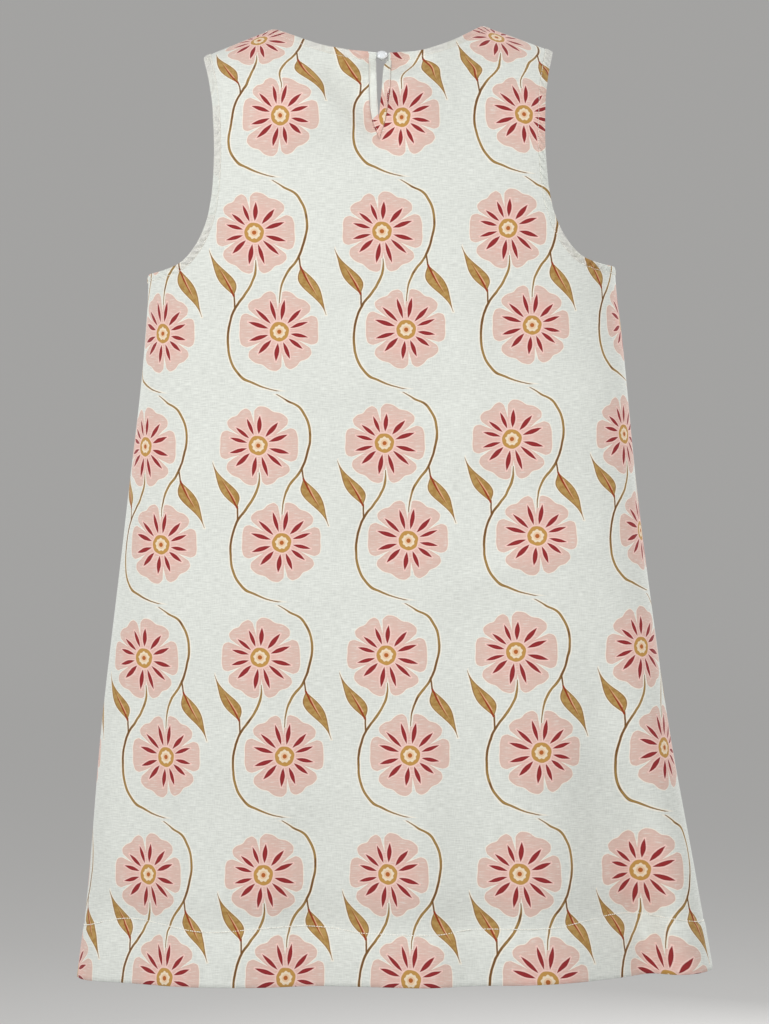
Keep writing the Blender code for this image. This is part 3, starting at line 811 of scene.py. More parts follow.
def trailing(group, place, x, y):
    """The stems, stalks and leaves as pairs of shape and colour, in painting order."""
    ink = noise(group, place, (160, 230, 0), 3.0)
    patch = noise(group, place, (60, 60, 0), 1.0)
    high_share = (y.ramp(-16, 12) * (1 - y.ramp(20, 33))).most(patch.ramp(0.6, 0.8))
    low_share = (y.ramp(56, 72) * (1 - y.ramp(92, 120))).most(patch.ramp(0.6, 0.8))
    tan = mixed(group, ink.ramp(0.38, 0.62), LEAF_LIGHT, LEAF_DARK)
    first_leaf, first_rib, first_light = leaf(x, y, (44.0, 33.0), (68.2, 80.3), 7.5, 0.68, 2.3)
    second_leaf, second_rib, second_light = leaf(x, y, (-21.3, 61.5), (-46.3, 15.6), 7.2, 0.65, 2.5)
    long_stem, long_halo = stem(x, y, LONG_STEM, 1.15, 30)
    low_stem, low_halo = stem(x, y, LOW_STEM, 1.15, 12)
    stalks = stalk(x, y, (42.5, 22.0), (44.3, 35.0), 0.8).most(stalk(x, y, (-21.2, 59.0), (-21.0, 74.0), 0.8))
    leaves = first_leaf.most(second_leaf)
    halo = long_halo.most(low_halo).most(leaves + 1.2).most(stalks + 1.2)
    return (
        (halo, HALO), (long_stem.most(low_stem), STEM_DARK),
        (long_stem - 0.4, mixed(group, high_share, STEM_LIGHT, STEM_DARK)),
        (low_stem - 0.4, mixed(group, low_share, STEM_LIGHT, STEM_DARK)),
        (stalks, STEM_DARK), (leaves, LEAF_RIM), (leaves - 0.7, tan),
        (first_light.most(second_light), RIB_LIGHT), (first_rib.most(second_rib), MIDRIB),
    )


def print_group():
    group = bpy.data.node_groups.new("flower_print", "ShaderNodeTree")
    group.interface.new_socket("Place", in_out="INPUT", socket_type="NodeSocketVector")
    group.interface.new_socket("Colour", in_out="OUTPUT", socket_type="NodeSocketColor")
    group.interface.new_socket("Bare", in_out="OUTPUT", socket_type="NodeSocketColor")
    group.interface.new_socket("Height", in_out="OUTPUT", socket_type="NodeSocketFloat")
    place = group.nodes.new("NodeGroupInput").outputs["Place"]
    result = group.nodes.new("NodeGroupOutput")
    parts = group.nodes.new("ShaderNodeSeparateXYZ")
    group.links.new(place, parts.inputs[0])
    across, up = Value(group, parts.outputs["X"]), Value(group, parts.outputs["Y"])
    wobble = noise(group, place, (90, 90, 0)) - 0.5
    x = ((across - FIRST_FLOWER[0]) * 1000 + wobble * 0.8).wrap(BLOCK_LEFT, BLOCK_LEFT + REPEAT_WIDTH)
    y = ((FIRST_FLOWER[1] - up) * 1000 + wobble * 0.8).wrap(BLOCK_TOP, BLOCK_TOP + REPEAT_HEIGHT)

    slub = noise(group, place, (110, 1250, 0), 2.0) - 0.5
    upright = noise(group, place, (1150, 130, 0), 2.0) - 0.5
    cloud = noise(group, place, (9, 13, 0), 2.0) - 0.5
    weave = slub * 1.2 + upright * 0.6 + cloud * 0.2
    bare = mixed(group, weave + 0.5, paint(220, 223, 216), paint(242, 245, 238))

    light_threads = slub.ramp(0.02, 0.24) * 0.4
    shapes = flower(x, y * -1.0, FIRST_NOTCHES, -45)
    shapes += flower(x - SECOND_FLOWER[0], SECOND_FLOWER[1] - y, SECOND_NOTCHES, 130)
    shapes += trailing(group, place, x, y)
    colour = bare
    for shape, ink_colour in shapes:
        if ink_colour is PETAL or ink_colour is BLUSH:
            ink_colour = mixed(group, light_threads, ink_colour, bare)
        colour = mixed(group, shape.ramp(-SOFT_EDGE, SOFT_EDGE), colour, ink_colour)
    tone = mixed(group, weave + 0.5, paint(240, 240, 240), paint(255, 255, 255))
    woven = mixed(group, 1.0, colour, tone, "MULTIPLY")
    level = (up * (2 * math.pi / THREAD_PITCH)).sine() * (across * (math.pi / THREAD_PITCH)).sine()
    height = level * 0.25 + slub * 1.2 + upright * 0.7
    group.links.new(woven, result.inputs["Colour"])
    group.links.new(bare, result.inputs["Bare"])
    group.links.new(height.socket, result.inputs["Height"])
    return group


flower_print = print_group()
print("the print's group has", len(flower_print.nodes), "nodes")

# %% [markdown]
# ## Linen
#
# Every finish starts as a Principled BSDF with a few plain constants. `new_finish` makes one, and `coat`
# links the colour and the fine relief to it. A Bump node bends only the light, which is enough for
# threads and fibres: real dents of a tenth of a millimetre would need millions of faces.
#
# Linen is matt, with a faint sheen where the fibres stand out from its surface. Its wrong side shows
# the same print, paler and soaked through. A band is turned cloth: where two printed layers lie on
# each other, the hidden one darkens the visible one a little.

# %% Linen materials
WEAVE_STRENGTH = 0.35
WEAVE_RELIEF = 0.0003
TURNED_SHIFT = (0.047, 0.021)


def new_finish(name, **constants):
    """A new material with constants set on its shader. An underscore in a constant's name is a space."""
    made = bpy.data.materials.new(name)
    made.use_nodes = True
    shader = made.node_tree.nodes["Principled BSDF"]
    for constant, value in constants.items():
        shader.inputs[constant.replace("_", " ")].default_value = value
    return made, made.node_tree, shader


def coat(tree, shader, colour, height, strength, distance):
    """Gives a shader its colour, and its fine relief by a Bump node."""
    tree.links.new(colour, shader.inputs["Base Color"])
    bump = tree.nodes.new("ShaderNodeBump")
    bump.inputs["Strength"].default_value = strength
    bump.inputs["Distance"].default_value = distance
    tree.links.new(height, bump.inputs["Height"])
    tree.links.new(bump.outputs["Normal"], shader.inputs["Normal"])


def linen(name, strength=1.0, shadow=0.0, shift=(0.0, 0.0)):
    """Printed linen. strength is how much of the print shows, and shadow how much a layer beneath, its
    print moved by shift, darkens it."""
    made, tree, shader = new_finish(
        name, Roughness=0.88, Specular_IOR_Level=0.25, Sheen_Weight=0.12, Sheen_Roughness=0.45
    )
    places = tree.nodes.new("ShaderNodeUVMap")
    places.uv_map = "cut"
    shown = tree.nodes.new("ShaderNodeGroup")
    shown.node_tree = flower_print
    tree.links.new(places.outputs[0], shown.inputs["Place"])
    colour = shown.outputs["Colour"]
    if strength < 1:
        colour = mixed(tree, strength, shown.outputs["Bare"], colour)
    if shadow:
        moved = tree.nodes.new("ShaderNodeVectorMath")
        moved.operation = "ADD"
        moved.inputs[1].default_value = (*shift, 0.0)
        tree.links.new(places.outputs[0], moved.inputs[0])
        beneath = tree.nodes.new("ShaderNodeGroup")
        beneath.node_tree = flower_print
        tree.links.new(moved.outputs[0], beneath.inputs["Place"])
        colour = mixed(tree, shadow, colour, beneath.outputs["Colour"], "MULTIPLY")
    coat(tree, shader, colour, shown.outputs["Height"], WEAVE_STRENGTH, WEAVE_RELIEF)
    return made


printed = linen("linen_printed")
wrong_side = linen("linen_wrong_side", strength=0.35)
turned_edge = linen("linen_turned", shadow=0.13, shift=TURNED_SHIFT)
plain_strip = linen("linen_plain", strength=0.0)
print("linen:", printed.name, wrong_side.name, turned_edge.name, plain_strip.name)

# %% [markdown]
# ## The two panels
#
# A panel is a thin closed shell: an outer face, an inner face set back by the cloth's thickness, and a
# rounded rim where the hem turns. Below the hem's stitching the cloth lies three times over itself,
# so the shell grows thicker there. A Solidify modifier would give one thickness all over.

# %% The hem's stitching line and the cloth's thickness
CLOTH_THICKNESS = 0.0008
HEM_THICKNESS = 0.0020
HEM_STEP = 0.002
HEM_SWELL = 0.0010
SWELL_REACH = 0.005
SEAM_GROOVE = 0.0007
SEAM_SOFTNESS = 0.0022
SEAM_FADE = 0.02
SEAM_CLEAR = 0.001
STITCHED_GROOVE = 0.0009
STITCHED_SOFTNESS = 0.0016
RIPPLE_HEIGHT = 0.00035
RIPPLE_REACH = 0.009

HEM_STITCH = table(
    "x back front",
    (-0.312, -0.8795, -0.8735),
    (-0.265, -0.8707, -0.8722),
    (-0.220, -0.8659, -0.8696),
    (-0.189, -0.8694, -0.8707),
    (-0.150, -0.8738, -0.8741),
    (-0.083, -0.8727, -0.8752),
    (-0.040, -0.8768, -0.8731),
    (0.027, -0.8757, -0.8719),
    (0.055, -0.8715, -0.8728),
    (0.090, -0.8690, -0.8742),
    (0.132, -0.8707, -0.8726),
    (0.176, -0.8740, -0.8701),
    (0.258, -0.8644, -0.8689),
    (0.312, -0.8760, -0.8722),
)


def hem_stitch_height(side, x):
    column = "back" if side == BACK else "front"
    return smooth(x, [s.x for s in HEM_STITCH], [getattr(s, column) for s in HEM_STITCH])


def cloth_faces(side):
    """The outer and inner points of a panel, and the points of its rounded hem. The seams and the hem's
    stitching lie in grooves, and the turned hem swells below its stitching and ripples beside it."""
    xs, zs = grids[side]
    out = outward(side, xs, zs)
    stands = depth(side, xs, zs)
    outer = on_cloth(side, xs, zs, SEAM_GAP / 2)
    below = hem_stitch_height(side, xs) - zs
    sunk = SEAM_GROOVE * np.exp(-((stands / SEAM_SOFTNESS) ** 2))
    sunk = sunk + STITCHED_GROOVE * np.exp(-((below / STITCHED_SOFTNESS) ** 2))
    ripple = np.sin(xs * 410 + 3 * np.sin(xs * 57)) * RIPPLE_HEIGHT * np.exp(-((below / RIPPLE_REACH) ** 2))
    raised = (ripple + HEM_SWELL * ease(below / SWELL_REACH)) * ease(stands / SEAM_FADE)
    outer = outer + out * (raised - sunk * (stands > SEAM_CLEAR))[..., None]
    thickness = CLOTH_THICKNESS + (HEM_THICKNESS - CLOTH_THICKNESS) * ease(below / HEM_STEP)
    inner = outer - out * thickness[..., None]
    rim = (outer[0] + inner[0]) / 2 + np.array([0.0, 0.0, -HEM_THICKNESS / 3])
    return outer, inner, rim


turned_up = float(hem_stitch_height(BACK, 0.0)) - HEM_HEIGHT
print("the hem is stitched", round(turned_up * 1000), "mm above its edge")

# %% [markdown]
# The outer face takes the print and the inner face its wrong side, so the panel's faces are counted out
# in groups: the two grids, the strips that join them round the rims, and a small triangle at each end
# of the hem.

# %% Build the panels
def make_panel(name, side):
    outer, inner, rim = cloth_faces(side)
    rows, columns = outer.shape[:2]
    numbers = np.arange(rows * columns).reshape(rows, columns)
    inside = numbers + rows * columns
    hem = np.arange(columns) + 2 * rows * columns
    pairs = [(numbers[0], hem), (hem, inside[0]), (numbers[-1], inside[-1])]
    pairs += [(numbers[:, end], inside[:, end]) for end in (0, -1)]
    rims = np.concatenate([quads(np.stack(pair)) for pair in pairs])
    corners = [[numbers[0, end], hem[end], inside[0, end]] for end in (0, -1)]
    grid = quads(numbers)
    faces = [*grid, *quads(inside), *rims, *corners]
    kinds = [0] * len(grid) + [1] * len(grid) + [0] * (len(rims) + len(corners))
    points = np.concatenate([outer.reshape(-1, 3), inner.reshape(-1, 3), rim])
    places = np.concatenate([cut[side].reshape(-1, 2), cut[side].reshape(-1, 2), cut[side][0]])
    made = add_piece(name, points, faces, places, kinds)
    made.data.materials.append(printed)
    made.data.materials.append(wrong_side)
    return made


back_panel = make_panel("back_panel", BACK)
front_panel = make_panel("front_panel", FRONT)
tell(back_panel)
tell(front_panel)

# %% [markdown]
# ## The keyhole
#
# The slit and the strip round it are cut out of the back like the hole that a maker would cut: a slab in
# their outline is taken away by a Boolean modifier. The fine grid of the panel needn't follow the slit
# then. A row of the slit's table gives a point of the slit's own edge and one of the strip's outer edge,
# each as x and height. `strip_edges` draws both edges through the rows, and the strip itself is made
# from the same edges further down, so the two meet with only a seam's gap.

# %% Cut the keyhole out of the back
SLIT_TOP = {LEFT: (0.0021, 0.0091), RIGHT: (-0.0086, -0.0126)}
SLIT = {
    LEFT: (
        (0.0020, -0.036, 0.0090, -0.036),
        (0.0020, -0.057, 0.0091, -0.057),
        (0.0012, -0.074, 0.0086, -0.074),
        (0.0007, -0.082, 0.0065, -0.0885),
    ),
    RIGHT: (
        (-0.0050, -0.036, -0.0123, -0.036),
        (-0.0028, -0.057, -0.0112, -0.057),
        (-0.0009, -0.074, -0.0089, -0.0713),
        (-0.0001, -0.081, -0.0056, -0.0885),
    ),
}
SLIT_POINT = (0.0005, -0.0857, 0.0002, -0.1066)
STRIP_STEPS = 60


def strip_edges(hand):
    """The slit's edge and the strip's outer edge as two rows of (x, z), from the neck down to the point."""
    inner_x, outer_x = SLIT_TOP[hand]
    top = (inner_x, float(neck_line(BACK, inner_x)), outer_x, float(neck_line(BACK, outer_x)))
    rows = np.array([top, *SLIT[hand], SLIT_POINT])
    at = np.linspace(0, len(rows) - 1, STRIP_STEPS + 1)
    columns = [smooth(at, np.arange(len(rows)), rows[:, c]) for c in range(4)]
    return np.stack(columns[:2], axis=-1), np.stack(columns[2:], axis=-1)


def cut_keyhole(panel):
    """Takes the slit and its strip out of the back, with a seam's gap all round."""
    clear_top, inner_side, outer_side = 0.05, 0.02, 0.15
    left = strip_edges(LEFT)[1] + [SEAM_GAP, 0]
    right = strip_edges(RIGHT)[1] - [SEAM_GAP, 0]
    point = (SLIT_POINT[2], SLIT_POINT[3] - 2 * SEAM_GAP)
    outline = [(left[0, 0], clear_top), *left[:-1], point, *right[-2::-1], (right[0, 0], clear_top)]
    count = len(outline)
    points = [(x, y, z) for y in (inner_side, outer_side) for x, z in outline]
    faces = [list(range(count)), list(range(count, 2 * count))]
    faces += [[i, (i + 1) % count, (i + 1) % count + count, i + count] for i in range(count)]
    cutter = add_piece("keyhole_cutter", points, faces, places=np.zeros((len(points), 2)))
    cut_out = panel.modifiers.new("keyhole", "BOOLEAN")
    cut_out.operation = "DIFFERENCE"
    cut_out.object = cutter
    bpy.context.view_layer.update()
    shaped = panel.evaluated_get(bpy.context.evaluated_depsgraph_get())
    panel.data = bpy.data.meshes.new_from_object(shaped)
    panel.modifiers.clear()
    bpy.data.objects.remove(cutter)


cut_keyhole(back_panel)
tell(back_panel)

# %% [markdown]
# ## Turned bands
#
# The neck and the armholes are finished with a narrow band of the same cloth, folded over the raw edge
# and stitched down. The fold stands up a little, rounds over at the rim and runs back inside. Stitching
# pulls the cloth along a curve, so the band puckers: small swells that lean to one side, like the
# strands of a rope, uneven in size. A ring of points, the band's section, is set at every millimetre
# of the edge and lifted more or less to make them. A bevelled curve would be round and smooth.

# %% Band helpers
FINE_SAMPLES = 900
RING_STEP = 0.0010
BARE_LEFT = 0.0092
BARE_RIGHT = -0.0120
SCRAP_DRIFT = 0.0050
SCRAP_WIDTH = 0.029

BAND_PROFILE = table(
    "along up swell",
    (-0.00040, -0.00030, 0.0),
    (0.00020, -0.00016, 0.2),
    (0.00080, -0.00006, 0.6),
    (0.00150, 0.00018, 1.0),
    (0.00240, 0.00036, 1.0),
    (0.00360, 0.00038, 1.0),
    (0.00480, 0.00026, 0.9),
    (0.00600, 0.00006, 0.6),
    (0.00690, -0.00008, 0.3),
    (0.00750, -0.00010, 0.1),
    (0.00800, -0.00030, 0.1),
    (0.00832, -0.00072, 0.0),
    (0.00810, -0.00118, 0.0),
    (0.00710, -0.00172, 0.0),
    (0.00520, -0.00196, 0.2),
    (0.00290, -0.00190, 0.2),
    (0.00040, -0.00160, 0.0),
    (-0.00040, -0.00100, 0.0),
)


def even_line(side, x, z, step=RING_STEP):
    """The same line on the cloth with its points at even steps, as (x, z) rows."""
    run = travelled(on_cloth(side, x, z))
    even = np.linspace(0, run[-1], max(2, round(run[-1] / step)) + 1)
    return between(even, run, np.stack([x, z], axis=-1))


def swells(run, pitch, seed):
    """Uneven swells along a stitched edge, with narrower dents between them, from -1.7 to 0.7."""
    wander = np.sin(run * 37 + seed) + 0.6 * np.sin(run * 91 + 2.3 * seed)
    phase = run * 2 * math.pi / pitch + 1.3 * wander
    strength = 0.65 + 0.35 * np.sin(run * 53 + 1.7 * seed)
    return strength * (0.7 - 2.4 * (0.5 + 0.5 * np.cos(phase)) ** 3)


print("a band's section has", len(BAND_PROFILE), "points")

# %% [markdown]
# Along the edge, a band needs to know at every ring which way the panel ends and which way the cloth
# faces. `edge_frames` finds both, and `tube` counts out the faces between the rings. `make_band` then
# lays the section on them, bends it by the swells, and places the result on the cut, so that the
# panel's print runs on over the band. Where the neck's band passes the slit, the turned cloth shows no
# print.

# %% Laying a band
def tube(rings, sides, first=0, loop=False):
    """The faces of a row of closed rings, from the number of the first point. A face lies over each end,
    or in a loop the last ring is joined to the first."""
    numbers = np.arange(rings * sides).reshape(rings, sides) + first
    around = np.concatenate([numbers, numbers[:, :1]], axis=1)
    if loop:
        return quads(np.concatenate([around, around[:1]]))
    return [*quads(around), numbers[0], numbers[-1]]


def edge_frames(stretches, turn, loop):
    """Points, ways off the panel, ways out of the cloth and sides, along stretches of (side, line)."""
    edges = np.concatenate([on_cloth(side, *line.T) for side, line in stretches])
    outs = np.concatenate([outward(side, *line.T) for side, line in stretches])
    sides = np.concatenate([[side] * len(line) for side, line in stretches])
    after, before = np.roll(edges, -2, axis=0), np.roll(edges, 2, axis=0)
    if not loop:
        after[-2:], before[:2] = edges[-1], edges[0]
    outs = sum(np.roll(outs, k, axis=0) for k in (-1, 0, 1)) if loop else outs
    outs = unit(outs)
    return edges, unit(np.cross(outs, after - before) * turn), outs, sides


def make_band(name, stretches, turn, loop, swell, pitch, lean, seed):
    """A turned band along an edge, and the line and directions for its stitching."""
    edges, away, outs, sides = edge_frames(stretches, turn, loop)
    run = travelled(edges)
    pull = 0.55 + 0.45 * np.cos(math.pi * run / run[-1]) ** 4 if loop else np.ones(len(run))
    rings = []
    for p in BAND_PROFILE:
        lift = p.up + swell * p.swell * pull * swells(run + lean * p.along, pitch, seed)
        reach = p.along + 0.3 * swell * p.swell * pull * swells(run + lean * p.along, pitch * 1.7, seed + 2)
        rings.append(edges + away * reach[:, None] + outs * lift[:, None])
    rings = np.stack(rings, axis=1)
    count, width = rings.shape[:2]
    faces = tube(count, width, loop=loop)
    face_sides = np.repeat(sides, width) if loop else [*np.repeat(sides[:-1], width), sides[0], sides[-1]]
    places = {side: cut_place(side, rings[..., 0], rings[..., 2]).reshape(-1, 2) for side in (BACK, FRONT)}
    if not loop:
        places[BACK][:, 1] += SCRAP_DRIFT * np.exp(-((rings[..., 0].ravel() / SCRAP_WIDTH) ** 6))
    corners = [places[side][face] for side, face in zip(face_sides, faces)]
    middles = [np.mean(rings.reshape(-1, 3)[face], axis=0) for face in faces]
    kinds = [int(not loop and m[1] > 0 and BARE_RIGHT < m[0] < BARE_LEFT) for m in middles]
    made = add_piece(name, rings, faces, np.concatenate(corners), kinds)
    made.data.materials.append(turned_edge)
    made.data.materials.append(plain_strip)
    print(name, "follows an edge of", round(float(run[-1]), 3), "m")
    return made, (rings[:, 2], away, outs)


# %% [markdown]
# The armhole's line goes up the back, over the shoulder and down the front. The neck's runs from the
# left side of the slit over the left shoulder, round the front, and back to the slit's right side.

# %% Armhole and neck bands
NECK_BINDING_ENDS = {LEFT: 0.0026, RIGHT: -0.0096}


def armhole_stretches(hand):
    lines = []
    for side in (BACK, FRONT):
        x, z = armhole_line(side, ARMHOLE_SAMPLES)
        lines.append(even_line(side, hand * x, z))
    return [(BACK, lines[0]), (FRONT, lines[1][-2:0:-1])]


def neck_stretch(side, start, end):
    turn = np.linspace(math.asin(start / NECK_POINT), math.asin(end / NECK_POINT), FINE_SAMPLES)
    x = NECK_POINT * np.sin(turn)
    return even_line(side, x, neck_line(side, x))


bands = {}
stitch_lines = {}
for hand, word in ((LEFT, "left"), (RIGHT, "right")):
    name = "armhole_band_" + word
    bands[name], stitch_lines[name] = make_band(
        name, armhole_stretches(hand), hand, True, swell=0.00160, pitch=0.0090, lean=1.1, seed=hand * 1.4
    )

neck_lines = [
    (BACK, neck_stretch(BACK, NECK_BINDING_ENDS[LEFT], NECK_POINT)),
    (FRONT, neck_stretch(FRONT, NECK_POINT, -NECK_POINT)[1:-1]),
    (BACK, neck_stretch(BACK, -NECK_POINT, NECK_BINDING_ENDS[RIGHT])),
]
bands["neck_band"], stitch_lines["neck_band"] = make_band(
    "neck_band", neck_lines, -1, False, swell=0.00028, pitch=0.013, lean=0.4, seed=0.6
)

# %% [markdown]
# ## The keyhole's strip
#
# A strip of cloth binds the slit, folded over both edges and meeting below in a point. Its left arm is
# bare of print, and its right arm was cut from elsewhere, so half a flower's middle lands on it beside
# the whole flower of the panel.

# %% Make the strip
STRIP_SHIFT = (-0.0081, 0.0934)
STRIP_BARE_ABOVE = -0.0813
STRIP_PROFILE = table(
    "share up",
    (0.00, -0.0004), (0.05, 0.0001), (0.16, 0.0005), (0.34, 0.00062), (0.55, 0.00062), (0.74, 0.00054),
    (0.89, 0.00034), (0.97, 0.0000), (1.00, -0.0005), (1.00, -0.0011), (0.90, -0.0016), (0.55, -0.0017),
    (0.18, -0.0017), (0.04, -0.0013),
)


def make_keyhole_strip():
    inner, outer = (np.concatenate([left, right[-2::-1]])
                    for left, right in zip(strip_edges(LEFT), strip_edges(RIGHT)))
    run = travelled(outer)
    rings = []
    for p in STRIP_PROFILE:
        flat = inner + (outer - inner) * p.share
        lift = p.up + 0.00012 * swells(run, 0.012, 0.9) * (p.up > 0)
        rings.append(on_cloth(BACK, *flat.T) + outward(BACK, *flat.T) * lift[:, None])
    rings = np.stack(rings, axis=1)
    count, width = rings.shape[:2]
    bare = np.repeat((np.arange(count - 1) < STRIP_STEPS) & (inner[:-1, 1] > STRIP_BARE_ABOVE), width)
    places = cut_place(BACK, rings[..., 0], rings[..., 2]) + STRIP_SHIFT
    kinds = [*np.where(bare, 1, 0), 1, 0]
    made = add_piece("keyhole_strip", rings, tube(count, width), places, kinds)
    made.data.materials.append(printed)
    made.data.materials.append(plain_strip)
    return made, (rings[:, 6], unit(rings[:, 5] - rings[:, 7]), outward(BACK, *outer.T))


bands["keyhole_strip"], stitch_lines["keyhole_strip"] = make_keyhole_strip()
for band in bands.values():
    tell(band)

# %% [markdown]
# ## Stitches
#
# A lockstitch shows as a row of short threads, each coming up through the cloth, lying over it and going
# down again. One stitch is a small arched rod of a few rings. `sew` walks along a line and sets one at
# every stitch's length, a little uneven, as a machine guided by hand leaves them. Here they are real
# geometry, because they catch the light and throw the line of small shadows that shows in a topstitch.

# %% Thread and stitch sizes
STITCH_PITCH = 0.0024
STITCH_LENGTH = 0.0021
HEM_THREAD = 0.00050
BAND_THREAD = 0.00028
NECK_THREAD = 0.00018
STITCH_ARCH = 0.00055
STITCH_SKEW = 0.00012
STITCH_RINGS = 5
STITCH_SIDES = 6
HEM_LINE_REACH = 0.9985
HEM_LINE_STEP = 0.0012
HEM_LINE_SINK = 0.00015


def spun(name, light, dark, roughness):
    """Spun thread: a fine twist in its colour and its surface. A dark colour much darker than light is
    painted shade between the strands.
    """
    made, tree, shader = new_finish(name, Roughness=roughness, Sheen_Weight=0.2)
    place = tree.nodes.new("ShaderNodeTexCoord").outputs["Object"]
    fibre = tree.nodes.new("ShaderNodeTexNoise")
    fibre.inputs["Scale"].default_value = 1400.0
    tree.links.new(place, fibre.inputs["Vector"])
    share = Value(tree, fibre.outputs["Fac"]).ramp(0.35, 0.65)
    coat(tree, shader, mixed(tree, share, dark, light), fibre.outputs["Fac"], 0.3, 0.0001)
    return made


thread_material = spun("sewing_thread", paint(255, 253, 246), paint(246, 242, 230), 0.7)
print("thread:", thread_material.name, "in stitches of", STITCH_LENGTH * 1000, "mm")

# %% [markdown]
# The hem's stitches lie at the height that its table gives, and the bands' lie along one line of their
# section. The hem has the thickest thread and the neck the finest, so the neck's row hardly shows.

# %% Sewing the rows
def rod(middles, first_way, second_way, thick, sides):
    """Rings of points round a line of middles, in the plane of two ways square to it."""
    turns = np.arange(sides) * 2 * math.pi / sides
    spokes = [math.cos(t) * first_way + math.sin(t) * second_way for t in turns]
    return np.stack([middles + thick * spoke for spoke in spokes], axis=1)


def sew(name, line, ways, outs, radius, loop=False):
    """A row of stitches along a line of points. ways point to one side of it, within the cloth."""
    if loop:
        line, ways, outs = (np.concatenate([part, part[:1]]) for part in (line, ways, outs))
    run = travelled(line)
    count = int(run[-1] / STITCH_PITCH)
    middles = (np.arange(count) + 0.5 + 0.1 * np.sin(np.arange(count) * 2.4)) * run[-1] / count
    points = []
    spread = np.linspace(-1, 1, STITCH_RINGS)[:, None]
    arch = np.sin(np.linspace(0, math.pi, STITCH_RINGS))[:, None]
    for k, middle in enumerate(middles):
        places = middle + spread[:, 0] * STITCH_LENGTH / 2
        centre, way, out = (between(places, run, rows) for rows in (line, ways, outs))
        out = unit(out)
        lifted = centre + out * (arch - 0.35) * STITCH_ARCH
        askew = lifted + way * STITCH_SKEW * math.sin(k * 1.9) * spread
        points.append(rod(askew, way, out, radius * (0.55 + 0.45 * arch), STITCH_SIDES))
    size = STITCH_RINGS * STITCH_SIDES
    faces = [face for k in range(count) for face in tube(STITCH_RINGS, STITCH_SIDES, k * size)]
    made = add_piece(name, np.concatenate(points), faces)
    made.data.materials.append(thread_material)
    print(name, "has", count, "stitches")
    return made


def hem_line(side):
    """The hem's stitching: its points, the ways down the cloth and the ways out of it."""
    place = np.sin(np.linspace(-math.pi / 2, math.pi / 2, FINE_SAMPLES)) * HEM_LINE_REACH
    level = hem_stitch_height(side, place * 0.31)
    x = section(level, "middle") + section(level, "half_width") * place
    line = even_line(side, x, hem_stitch_height(side, x), HEM_LINE_STEP)
    outs = outward(side, *line.T)
    points = on_cloth(side, *line.T) - outs * HEM_LINE_SINK
    down = on_cloth(side, line[:, 0], line[:, 1] - 0.001) - on_cloth(side, *line.T)
    return points, unit(down), outs


stitches = {}
for side, word in ((BACK, "back"), (FRONT, "front")):
    stitches[word] = sew("hem_stitches_" + word, *hem_line(side), HEM_THREAD)
for name, line in stitch_lines.items():
    radius = NECK_THREAD if name == "neck_band" else BAND_THREAD
    stitches[name] = sew(name + "_stitches", *line, radius, loop=name.startswith("armhole"))

# %% [markdown]
# ## The button and its threads
#
# The button is a small turned pearl with a domed top, sewn on by its shank at the left end of the neck
# band. A loop of two-ply thread from the band's right end goes round the shank. The dome is a turned
# profile. The threads are pairs of thin strands wound round each other, as a buttonhole twist is.

# %% Button sizes and directions
BUTTON_CENTRE = np.array([-0.0035, 0.0886, -0.0245])
BUTTON_TILT = math.radians(50)
BUTTON_RADIUS = 0.0055
BUTTON_HALF_THICKNESS = 0.0031
UNDERSIDE_SHARE = 0.9
SHANK_RADIUS = 0.0013
SHANK_LENGTH = 0.0058
THREAD_RADIUS = 0.0005
STRAND_SHARE = 0.52
STRAND_CLOSENESS = 0.95
END_SHARE = 0.2
SEWN_DROP = 0.0037
LOOP_DROP = 0.0049
LOOP_BEND = 0.0021
LOOP_SPREAD = 0.0008
LOOP_SAG = 0.0012
CLOTH_WALL = 0.0012

axis = np.array([0.0, math.cos(BUTTON_TILT), math.sin(BUTTON_TILT)])
across = np.array([1.0, 0.0, 0.0])
beside = np.cross(axis, across)


def turn_button(name, sides=72, steps=22):
    """A domed button on a short shank, turned from its profile, with a softly hollowed rim."""
    dome = np.linspace(math.radians(89), math.radians(-55), steps)
    profile = [(BUTTON_RADIUS * math.cos(a), BUTTON_HALF_THICKNESS * math.sin(a)) for a in dome]
    under = -BUTTON_HALF_THICKNESS * UNDERSIDE_SHARE
    profile += [
        (SHANK_RADIUS * 1.5, under), (SHANK_RADIUS, under - 0.0004),
        (SHANK_RADIUS * 0.94, 0.0003 - SHANK_LENGTH), (SHANK_RADIUS * 0.7, -SHANK_LENGTH),
        (0.0001, -SHANK_LENGTH),
    ]
    radii, heights = np.transpose(profile)[..., None]
    rings = rod(BUTTON_CENTRE + axis * heights, across, beside, radii, sides)
    return add_piece(name, rings, tube(len(rings), sides))


def binding_end(hand, x):
    """Where threads meet an end of the neck band, moved to x."""
    edge_x = np.array(NECK_BINDING_ENDS[hand])
    meet_z = neck_line(BACK, edge_x) + BINDING_GAP + BINDING_WIDTH * END_SHARE
    point = on_cloth(BACK, edge_x, meet_z) - outward(BACK, edge_x, meet_z) * CLOTH_WALL / 2
    return np.array([x, point[1], point[2]])


print("the button is", round(BUTTON_RADIUS * 2000, 1), "mm across")

# %% [markdown]
# The sewing thread runs straight from the shank to the left end of the neck band. The loop starts at the
# right end, runs round the shank in a half circle and back, and its outer leg sags a little. Both are
# laid as paths through a few points, and two thin strands wind round each path.

# %% Threads
def eased_path(points, step=0.00012):
    """A smooth curve through a few points, sampled finely."""
    run = travelled(points)
    even = np.linspace(0, run[-1], int(run[-1] / step) + 2)
    curve = between(even, run, points)
    for _ in range(12):
        curve[1:-1] = (curve[:-2] + 2 * curve[1:-1] + curve[2:]) / 4
    return curve


